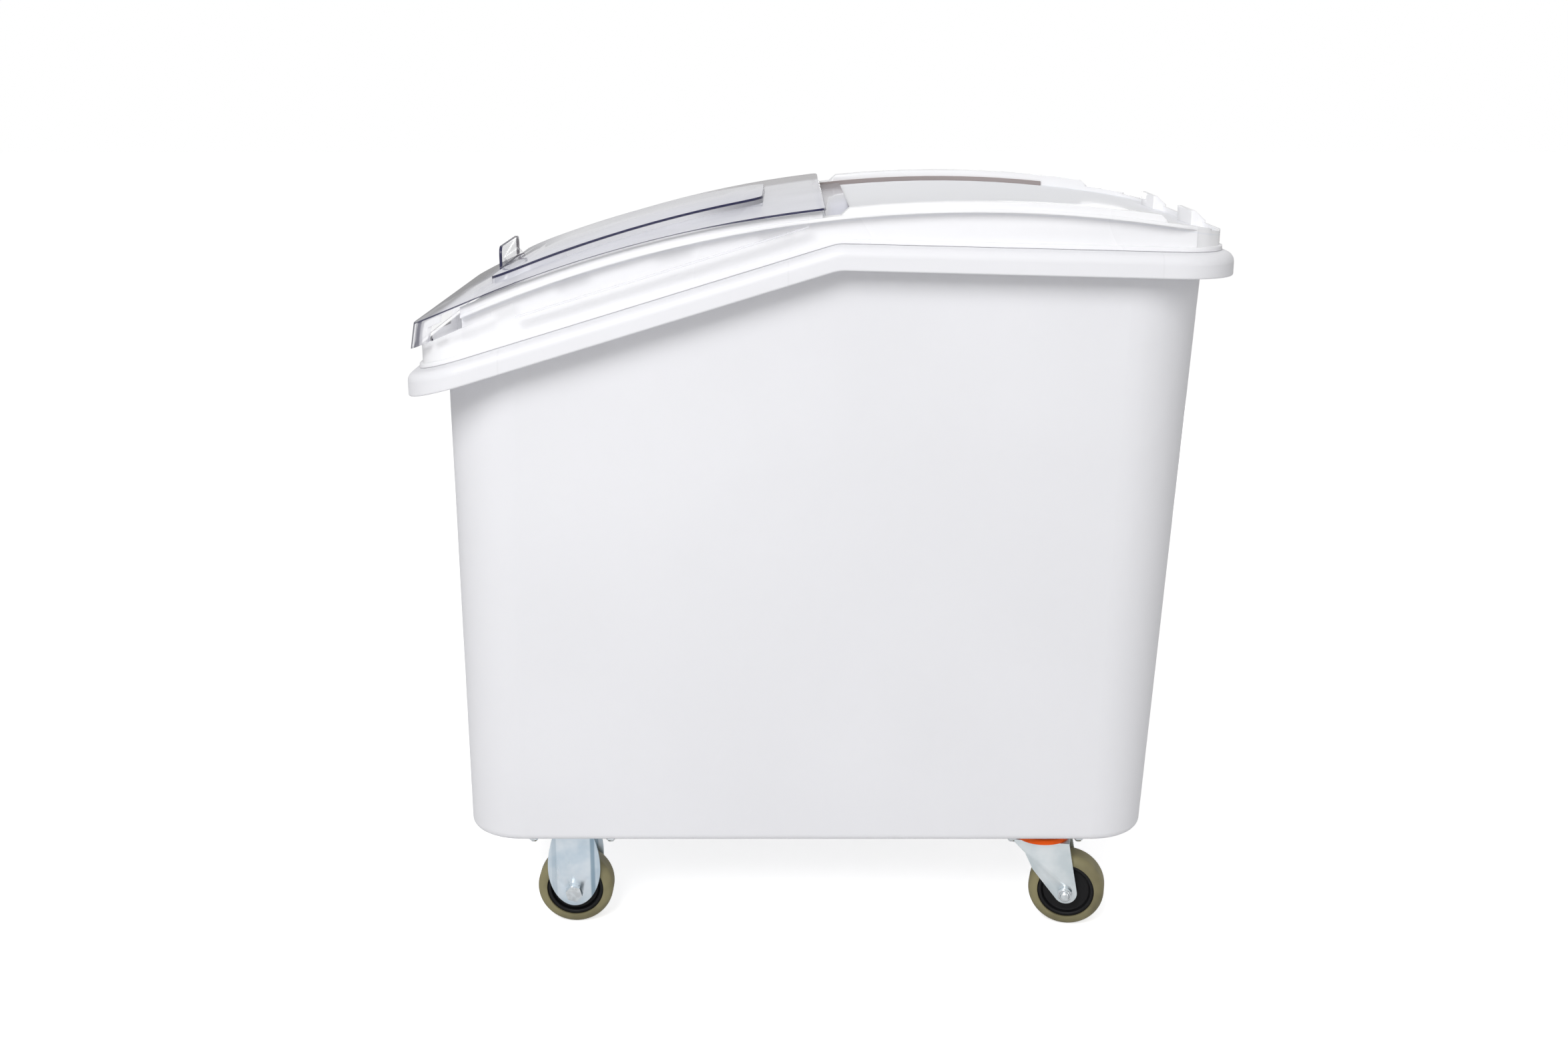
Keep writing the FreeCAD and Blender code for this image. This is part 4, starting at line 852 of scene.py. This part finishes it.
class MeshShop:
    """Mesh operations shared by the pieces. Turned shapes are in millimetres until they are placed."""

    @staticmethod
    def turned(profile: Profile, steps: int, axis: Axis = Axis.UPRIGHT) -> BMesh:
        """Spins a closed outline of (radius, along) points once round its axis.

        Args:
            profile: the outline's corners, in millimetres.
            steps: sides of the circle.
            axis: which way the axis points when done.

        Returns:
            A closed mesh with its faces outwards.
        """
        mesh = bmesh.new()
        corners = [mesh.verts.new((radius, 0.0, along)) for radius, along in profile]
        outline = [mesh.edges.new(pair) for pair in zip(corners, corners[1:] + corners[:1])]
        bmesh.ops.spin(mesh, geom=corners + outline, cent=(0, 0, 0), axis=(0, 0, 1), dvec=(0, 0, 0),
                       angle=2 * math.pi, steps=steps, use_merge=True)
        bmesh.ops.remove_doubles(mesh, verts=mesh.verts, dist=WELD_MM)
        bmesh.ops.dissolve_degenerate(mesh, edges=mesh.edges, dist=WELD_MM / 10)
        bmesh.ops.recalc_face_normals(mesh, faces=mesh.faces)
        if axis is Axis.ACROSS:
            lie = Matrix.Rotation(-math.pi / 2, 3, "X")
            bmesh.ops.rotate(mesh, verts=mesh.verts, cent=(0, 0, 0), matrix=lie)
            bmesh.ops.recalc_face_normals(mesh, faces=mesh.faces)
        return mesh

    @staticmethod
    def prism(sides: int, radius: float, depth: float) -> BMesh:
        """An upright prism that stands on Z = 0.

        Args:
            sides: sides of its polygon.
            radius: radius over the corners.
            depth: its height.

        Returns:
            The closed mesh.
        """
        mesh = bmesh.new()
        middle = Matrix.Translation((0, 0, depth / 2))
        bmesh.ops.create_cone(mesh, cap_ends=True, cap_tris=False, segments=sides, radius1=radius,
                              radius2=radius, depth=depth, matrix=middle)
        return mesh

    @staticmethod
    def round_edges(mesh: BMesh, chosen: Callable[[BMEdge], bool], width: float, segments: int = 2) -> None:
        """Rounds the chosen edges.

        Args:
            mesh: the mesh to change.
            chosen: says which edges are rounded.
            width: the rounding's width, in the mesh's own unit.
            segments: faces across the rounding.
        """
        edges = [edge for edge in mesh.edges if edge.is_manifold and chosen(edge)]
        bmesh.ops.bevel(mesh, geom=edges, offset=width, offset_type="OFFSET", segments=segments,
                        profile=0.5, affect="EDGES", clamp_overlap=True, material=-1)

    @staticmethod
    def is_sharp(edge: BMEdge, degrees: float = 30.0) -> bool:
        """Whether an edge turns by more than the angle."""
        return edge.calc_face_angle(0.0) > math.radians(degrees)

    @staticmethod
    def combined(*meshes: BMesh) -> BMesh:
        """Puts several meshes into the first one and frees the rest.

        Args:
            meshes: the meshes, in one unit.

        Returns:
            The first mesh, with the others in it.
        """
        first = meshes[0]
        for other in meshes[1:]:
            spare = bpy.data.meshes.new("spare")
            other.to_mesh(spare)
            first.from_mesh(spare)
            bpy.data.meshes.remove(spare)
            other.free()
        return first

    @staticmethod
    def copy_of(node: str) -> BMesh:
        """A merged copy of a solid's mesh, with its flat faces made whole.

        Args:
            node: the solid's name.

        Returns:
            The copy, in metres.
        """
        mesh = bmesh.new()
        mesh.from_mesh(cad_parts[node].data)
        bmesh.ops.remove_doubles(mesh, verts=mesh.verts, dist=WELD_M)
        bmesh.ops.dissolve_limit(mesh, angle_limit=math.radians(FLAT_DEGREES), verts=mesh.verts,
                                 edges=mesh.edges, use_dissolve_boundaries=False)
        return mesh

    @staticmethod
    def rounded_copy(node: str, width: float, degrees: float = 30.0) -> BMesh:
        """A merged copy of a solid with its sharp edges rounded.

        Args:
            node: the solid's name.
            width: the rounding's width, in metres.
            degrees: edges that turn by more than this are rounded.

        Returns:
            The copy, in metres.
        """
        mesh = MeshShop.copy_of(node)
        MeshShop.round_edges(mesh, lambda edge: MeshShop.is_sharp(edge, degrees), width)
        return mesh

    @staticmethod
    def moved(mesh: BMesh, matrix: Matrix) -> BMesh:
        """Moves the whole mesh."""
        bmesh.ops.transform(mesh, matrix=matrix, verts=mesh.verts)
        return mesh

    @staticmethod
    def placed(mesh: BMesh, matrix: Matrix) -> BMesh:
        """Turns millimetres into metres and puts the mesh in its place."""
        return MeshShop.moved(mesh, matrix @ Matrix.Scale(MM, 4))


def linked(name: str, data: bpy.types.ID) -> bpy.types.Object:
    """Makes an object of the data and links it to the scene."""
    made = bpy.data.objects.new(name, data)
    bpy.context.scene.collection.objects.link(made)
    return made


@dataclass
class Piece:
    """One finished object: what it is called, made of, rides on and stands for."""

    name: str
    body: str
    slot: str
    material: bpy.types.Material
    stands_for: str
    smooth_below: float = 32.0

    def build(self, mesh: BMesh) -> bpy.types.Object:
        """Makes the object from a mesh in metres.

        Args:
            mesh: the finished mesh; it is freed.

        Returns:
            The object, riding on its body.
        """
        data = bpy.data.meshes.new(self.name)
        mesh.to_mesh(data)
        mesh.free()
        data.shade_smooth()
        data.set_sharp_from_angle(angle=math.radians(self.smooth_below))
        data.materials.append(self.material)
        made = linked(self.name, data)
        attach(made, self.body)
        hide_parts(self.stands_for)
        log.info("%s: %d faces, rides on %s", self.name, len(data.polygons), self.body)
        return made


def dress(node: str, material: bpy.types.Material) -> None:
    """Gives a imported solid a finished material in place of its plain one."""
    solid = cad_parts[node]
    for entry in solid.material_slots:
        entry.material = material
    log.info("%s: dressed", node)


# ------------------------ tub and lids


@dataclass
class MouldedShells:
    """Tub, lid base and glide strips: the solids' own shapes, with soft moulded edges."""

    base_edge: float = 0.0009

    def build(self, finishes: Finishes) -> None:
        """Dresses the tub and makes the lid base's rounded shape.

        Args:
            finishes: the materials.
        """
        dress("tub", finishes.tub)
        dress("glide_strips", finishes.glide)
        mesh = MeshShop.rounded_copy("lid_base", self.base_edge)
        Piece("lid_base_shell", "lid_base", "lid_plastic", finishes.lid, "lid_base").build(mesh)


@dataclass
class ClearLid:
    """Clear sliding lid: one moulded sheet whose folds and edges are softened."""

    edge: float = 0.0004
    fold_degrees: float = 45.0

    def build(self, finishes: Finishes) -> None:
        """Makes the lid from the solid's shape."""
        mesh = MeshShop.rounded_copy("clear_lid", self.edge, self.fold_degrees)
        Piece("clear_lid_shell", "clear_lid", "clear_plastic", finishes.clear, "clear_lid").build(mesh)


# ------------------------ casters


@dataclass
class Wheel:
    """Black hub with a raised ring and a recessed disc, and an olive tyre. Sizes are in millimetres."""

    tyre_radius: float = 37.5
    tyre_half: float = 15.0
    shoulder: float = 8.0
    shoulder_faces: int = 9
    shoulder_degrees: float = 60.0
    tyre_edge: float = 0.35
    hub_radius: float = 28.0
    hub_edge: float = 0.5
    ring_half: float = 13.5
    ring_inner: float = 24.0
    ring_bevel: float = 0.8
    ring_draft: float = 0.8
    rim_bevel: float = 1.2
    rim_step: float = 0.5
    web_half: float = 9.0
    web_fillet: float = 0.6
    boss_radius: float = 11.0
    boss_half: float = 15.7
    boss_chamfer: float = 1.5
    boss_fillet: float = 1.2
    bore: float = 6.06
    steps: int = 96

    def build(self, place: str, body: str, where: Matrix, finishes: Finishes) -> None:
        """Makes one wheel.

        Args:
            place: which caster, the start of its nodes' names.
            body: the body that the wheel turns with.
            where: the axle's place; the wheel turns about its Y.
            finishes: the materials.
        """
        hub = MeshShop.turned(self._mirrored(self._hub_half()), self.steps, Axis.ACROSS)
        MeshShop.round_edges(hub, MeshShop.is_sharp, self.hub_edge)
        disc = Piece(place + "_hub_disc", body, "hub_plastic", finishes.hub, place + "_wheel_hub")
        disc.build(MeshShop.placed(hub, where))
        tyre = MeshShop.turned(self._mirrored(self._tyre_half()), self.steps, Axis.ACROSS)
        MeshShop.round_edges(tyre, self._is_shoulder, self.shoulder, self.shoulder_faces)
        MeshShop.round_edges(tyre, MeshShop.is_sharp, self.tyre_edge)
        tread = Piece(place + "_tread", body, "tyre_rubber", finishes.tyre, place + "_tyre")
        tread.build(MeshShop.placed(tyre, where))

    @staticmethod
    def _mirrored(half: list[tuple[float, float]]) -> list[tuple[float, float]]:
        """A section's upper half, then its mirror image."""
        return half + [(radius, -along) for radius, along in reversed(half)]

    def _hub_half(self) -> list[tuple[float, float]]:
        """Half of the hub's section, from the bore out: boss, recessed web and raised ring.

        Returns:
            Its corners, as (radius, along).
        """
        ring_foot = self.ring_inner - self.ring_draft
        boss_foot = self.boss_radius + self.boss_fillet
        return [
            (self.bore, self.boss_half),
            (self.boss_radius - self.boss_chamfer, self.boss_half),
            (self.boss_radius, self.boss_half - self.boss_chamfer),
            (self.boss_radius + self.boss_fillet / 2, self.web_half + self.boss_fillet / 3),
            (boss_foot, self.web_half),
            (ring_foot - self.web_fillet, self.web_half),
            (ring_foot, self.web_half + self.web_fillet),
            (self.ring_inner, self.ring_half - self.ring_bevel),
            (self.ring_inner + self.ring_bevel, self.ring_half),
            (self.hub_radius - self.rim_bevel, self.ring_half),
            (self.hub_radius, self.ring_half - self.rim_step),
        ]

    def _tyre_half(self) -> list[tuple[float, float]]:
        """Half of the tread's section before its shoulders are rounded."""
        return [(self.hub_radius, self.tyre_half), (self.tyre_radius, self.tyre_half)]

    def _is_shoulder(self, edge: BMEdge) -> bool:
        """Whether an edge runs round the tread's outer corner.

        Args:
            edge: an edge of the turned tread.

        Returns:
            True for a corner edge.
        """
        middle = (self.hub_radius + self.tyre_radius) / 2
        outer = all(math.hypot(v.co.x, v.co.z) > middle for v in edge.verts)
        return outer and MeshShop.is_sharp(edge, self.shoulder_degrees)


@dataclass
class AxleSet:
    """Axle bolt with a chamfered hexagon head, and a lock nut with its collar. Sizes are in millimetres."""

    face: float = 19.0
    head: float = 8.0
    head_corners: float = 8.6
    head_chamfer: float = 1.1
    head_turn: float = 15.0
    bolt: float = 4.0
    bolt_chamfer: float = 0.9
    bolt_shy: float = 0.01
    end: float = 2.5
    thread_lead: float = 0.5
    thread_pitch: float = 0.8
    thread_depth: float = 0.45
    thread_crest: float = 0.03
    nut: float = 8.0
    nut_corners: float = 7.5
    nut_chamfer: float = 0.9
    hexagon_share: float = 0.68
    hexagon_edge: float = 0.18
    hexagon_degrees: float = 25.0
    collar_radius: float = 5.9
    collar_top: float = 5.2
    collar_round: float = 0.9
    collar_gap: float = 0.05
    collar_sunk: float = 0.02
    insert_width: float = 0.6
    insert_fall: float = 0.5
    steps: int = 40

    def build(self, place: str, body: str, where: Matrix, head_side: int, finishes: Finishes) -> None:
        """Makes the bolt and nut of one wheel.

        Args:
            place: which caster.
            body: the body that carries the axle.
            where: the axle's place, with the bolt along its Y.
            head_side: the sign of Y on which the head lies.
            finishes: the materials.
        """
        outwards, inwards = self._along(head_side), self._along(-head_side)
        on_face, from_face = Matrix.Translation((0, 0, self.face)), Matrix.Translation((0, 0, -self.face))
        turn = Matrix.Rotation(math.radians(self.head_turn), 4, "Z")
        head = MeshShop.moved(self._hexagon(self.head_corners, self.head, self.head_chamfer),
                              outwards @ on_face @ turn)
        length = 2 * self.face + self.nut + self.end - self.bolt_shy
        shank = MeshShop.turned(self._shank_profile(length), self.steps)
        MeshShop.moved(shank, inwards @ from_face)
        screw = Piece(place + "_axle_screw", body, "bright_steel", finishes.bright, place + "_axle_bolt")
        screw.build(MeshShop.placed(MeshShop.combined(head, shank), where))
        nut = Piece(place + "_lock_nut", body, "bright_steel", finishes.bright, place + "_axle_nut")
        nut.build(MeshShop.placed(MeshShop.moved(self._lock_nut(), inwards @ on_face), where))
        dress(place + "_axle_sleeve", finishes.zinc)

    @staticmethod
    def _along(side: int) -> Matrix:
        """Turns +Z to the given side of Y."""
        return Matrix.Rotation(-side * math.pi / 2, 4, "X")

    def _hexagon(self, corners: float, height: float, chamfer: float) -> BMesh:
        """A hexagon that stands on Z = 0, with its outer corners turned down.

        Args:
            corners: radius over the corners.
            height: its height.
            chamfer: how far the corners are turned down.

        Returns:
            The hexagon.
        """
        mesh = MeshShop.prism(6, corners, height)
        crown = [v for v in mesh.verts if v.co.z > height / 2]
        bmesh.ops.bevel(mesh, geom=crown, offset=chamfer, offset_type="OFFSET", segments=2, profile=0.5,
                        affect="VERTICES", clamp_overlap=True, material=-1)
        MeshShop.round_edges(mesh, lambda edge: MeshShop.is_sharp(edge, self.hexagon_degrees),
                             self.hexagon_edge, 1)
        return mesh

    def _shank_profile(self, length: float) -> list[tuple[float, float]]:
        """Plain shank that ends in screw thread and a chamfer.

        Args:
            length: the shank's length from the head.

        Returns:
            The corners of half its section.
        """
        along = length - self.end - self.thread_lead
        points = [(0.0, 0.0), (self.bolt, 0.0), (self.bolt, along)]
        while along < length - self.bolt_chamfer:
            root = (self.bolt - self.thread_depth, along + self.thread_pitch / 2)
            crest = (self.bolt - self.thread_crest, along + self.thread_pitch)
            points += [root, crest]
            along += self.thread_pitch
        return points + [(self.bolt - self.bolt_chamfer, length), (0.0, length)]

    def _lock_nut(self) -> BMesh:
        """Hexagon, then a round collar with an insert ring.

        Returns:
            The nut, standing on Z = 0.
        """
        height = self.nut * self.hexagon_share
        low, high = height - self.collar_sunk, self.nut
        collar = [
            (self.bolt + self.collar_gap, low),
            (self.collar_radius, low),
            (self.collar_radius, high - self.collar_round),
            (self.collar_top, high),
            (self.bolt + self.insert_width, high),
            (self.bolt + self.collar_gap, high - self.insert_fall),
        ]
        hexagon = self._hexagon(self.nut_corners, height, self.nut_chamfer)
        return MeshShop.combined(hexagon, MeshShop.turned(collar, self.steps))


@dataclass
class FrontCaster:
    """Rigid caster: pressed fork under the front of the tub. Its axle is placed in millimetres."""

    side: Side
    axle: tuple[float, float, float] = (-239.0, 165.0, 37.5)
    fork_edge: float = 0.0005
    wheel: Wheel = field(default_factory=Wheel)
    axle_set: AxleSet = field(default_factory=AxleSet)

    def build(self, finishes: Finishes) -> None:
        """Makes the fork, the axle and the wheel.

        Args:
            finishes: the materials.
        """
        place = "front_" + self.side.word
        x, y, z = self.axle
        where = Matrix.Translation(Vector((x, y * self.side.value, z)) * MM)
        fork = Piece(place + "_pressed_fork", "bin", "zinc_steel", finishes.zinc_pressed, place + "_fork")
        fork.build(MeshShop.rounded_copy(place + "_fork", self.fork_edge))
        self.axle_set.build(place, "bin", where, self.side.value, finishes)
        self.wheel.build(place, place + "_wheel", where, finishes)


@dataclass
class RearCaster:
    """Swivel caster: race plate, orange dust ring, kingpin, tapered fork and wheel.

    Sizes and places are in millimetres, but the edges of copied solids are in metres.
    """

    side: Side
    pivot: tuple[float, float] = (228.0, 165.0)
    trail: float = 26.5
    yaw: float = 12.0
    axle_z: float = 37.5
    plate_edge: float = 0.0004
    fork_edge: float = 0.0005
    ring_inner: float = 24.1
    ring_outer: float = 27.5
    ring_low: float = 90.5
    ring_height: float = 5.6
    ring_foot_round: tuple[float, float] = (1.0, 0.3)
    ring_top_round: tuple[float, float, float] = (1.4, 0.4, 0.5)
    ring_steps: int = 96
    wheel: Wheel = field(default_factory=Wheel)
    axle_set: AxleSet = field(default_factory=AxleSet)

    def build(self, finishes: Finishes) -> None:
        """Makes every part of the caster.

        Args:
            finishes: the materials.
        """
        place = "rear_" + self.side.word
        body = place + "_swivel"
        x, y = self.pivot
        turn = Matrix.Rotation(math.radians(self.yaw * self.side.value), 4, "Z")
        pivot = Matrix.Translation(Vector((x, y * self.side.value, 0)) * MM) @ turn
        where = pivot @ Matrix.Translation(Vector((self.trail, 0, self.axle_z)) * MM)
        plate = Piece(place + "_race_plate", "bin", "zinc_steel", finishes.zinc, place + "_top_plate")
        plate.build(MeshShop.rounded_copy(place + "_top_plate", self.plate_edge))
        fork = Piece(place + "_swivel_fork", body, "zinc_steel", finishes.zinc, place + "_fork")
        fork.build(MeshShop.rounded_copy(place + "_fork", self.fork_edge))
        ring = Piece(place + "_orange_ring", body, "ring_plastic", finishes.ring, place + "_dust_ring")
        ring.build(MeshShop.placed(MeshShop.turned(self._ring_profile(), self.ring_steps), pivot))
        dress(place + "_race_balls", finishes.bright)
        dress(place + "_kingpin", finishes.zinc)
        self.axle_set.build(place, body, where, -self.side.value, finishes)
        self.wheel.build(place, place + "_wheel", where, finishes)

    def _ring_profile(self) -> list[tuple[float, float]]:
        """Section of the dust ring, with rolled outer corners.

        Returns:
            Its corners, as (radius, along).
        """
        low, high, outer = self.ring_low, self.ring_low + self.ring_height, self.ring_outer
        foot, foot_middle = self.ring_foot_round
        top, top_in, top_down = self.ring_top_round
        return [
            (self.ring_inner, low),
            (outer - foot, low),
            (outer - foot_middle, low + foot_middle),
            (outer, low + foot),
            (outer, high - top),
            (outer - top_in, high - top_down),
            (outer - top, high),
            (self.ring_inner, high),
        ]


@dataclass
class MountFasteners:
    """The bolts that hold the casters to the tub, and their domed nuts."""

    edge: float = 0.0005
    edge_degrees: float = 40.0

    def build(self, finishes: Finishes) -> None:
        """Makes all bolts as one piece and all nuts as another."""
        for node, name in (("mount_bolts", "mount_screws"), ("mount_nuts", "mount_cap_nuts")):
            mesh = MeshShop.rounded_copy(node, self.edge, self.edge_degrees)
            Piece(name, "bin", "bright_steel", finishes.bright, node).build(mesh)


# ------------------------ studio


@dataclass
class Lamp:
    """A soft rectangular lamp that points at the bin."""

    name: str
    place: tuple[float, float, float]
    size: float
    power: float
    target: tuple[float, float, float] = (0.0, 0.0, 0.38)

    def build(self) -> None:
        """Adds the lamp to the scene."""
        data = bpy.data.lights.new(self.name, "AREA")
        data.shape = "SQUARE"
        data.size = self.size
        data.energy = self.power
        lamp = linked(self.name, data)
        lamp.location = self.place
        lamp.rotation_euler = (Vector(self.target) - Vector(self.place)).to_track_quat("-Z", "Y").to_euler()


@dataclass
class Studio:
    """White floor, even white surroundings, soft lamps and the camera."""

    camera_place: tuple[float, float, float] = (-0.030, -1.7813, 0.845)
    camera_pitch: float = 15.0
    lens: float = 40.27
    sensor: float = 36.0
    floor_size: float = 14.0
    ambient: float = 0.44
    mirrored: float = 0.75
    lamps: tuple[Lamp, ...] = (
        Lamp("key", (-0.9, -2.4, 2.3), 1.4, 59.0),
        Lamp("fill", (2.1, -1.5, 1.3), 1.4, 4.0),
        Lamp("top", (0.1, 0.3, 2.8), 2.0, 6.0),
        Lamp("rear", (0.5, 2.7, 0.42), 0.7, 13.0),
    )

    def build(self) -> None:
        """Makes the floor, world, lamps and camera."""
        self._floor()
        self._world()
        for lamp in self.lamps:
            lamp.build()
        self._camera()
        bpy.context.scene.view_settings.view_transform = "Standard"

    def _floor(self) -> None:
        """A wide flat floor at Z = 0."""
        mesh = bmesh.new()
        bmesh.ops.create_grid(mesh, x_segments=1, y_segments=1, size=self.floor_size)
        data = bpy.data.meshes.new("studio_floor")
        mesh.to_mesh(data)
        mesh.free()
        data.materials.append(StudioPaper("studio_paper").make())
        linked("studio_floor", data)

    def _world(self) -> None:
        """White where it is seen, reflected or seen through, and plain light elsewhere."""
        world = bpy.data.worlds.new("studio_world")
        world.use_nodes = True
        tree = world.node_tree
        tree.nodes.clear()
        path = tree.nodes.new("ShaderNodeLightPath")
        strength: bpy.types.NodeSocket | float = self.ambient
        levels = {"Is Glossy Ray": self.mirrored, "Is Transmission Ray": 1.0, "Is Camera Ray": 1.0}
        for ray, level in levels.items():
            choice = tree.nodes.new("ShaderNodeMix")
            tree.links.new(path.outputs[ray], choice.inputs[0])
            choice.inputs[3].default_value = level
            if isinstance(strength, float):
                choice.inputs[2].default_value = strength
            else:
                tree.links.new(strength, choice.inputs[2])
            strength = choice.outputs[0]
        glow = tree.nodes.new("ShaderNodeBackground")
        glow.inputs["Color"].default_value = (1.0, 1.0, 1.0, 1.0)
        tree.links.new(strength, glow.inputs["Strength"])
        output = tree.nodes.new("ShaderNodeOutputWorld")
        tree.links.new(glow.outputs[0], output.inputs["Surface"])
        bpy.context.scene.world = world

    def _camera(self) -> None:
        """The camera, level across and pitched down."""
        data = bpy.data.cameras.new("camera")
        data.sensor_width = self.sensor
        data.lens = self.lens
        camera = linked("camera", data)
        camera.location = self.camera_place
        camera.rotation_euler = (math.radians(90.0 - self.camera_pitch), 0.0, 0.0)
        bpy.context.scene.camera = camera


def main() -> None:
    """Builds the bin's looks and its studio in order."""
    logging.basicConfig(level=logging.INFO, format="%(name)s: %(message)s")
    finishes = Finishes()
    MouldedShells().build(finishes)
    ClearLid().build(finishes)
    for side in Side:
        FrontCaster(side).build(finishes)
        RearCaster(side).build(finishes)
    MountFasteners().build(finishes)
    Studio().build()


if __name__ == "__main__":
    main()
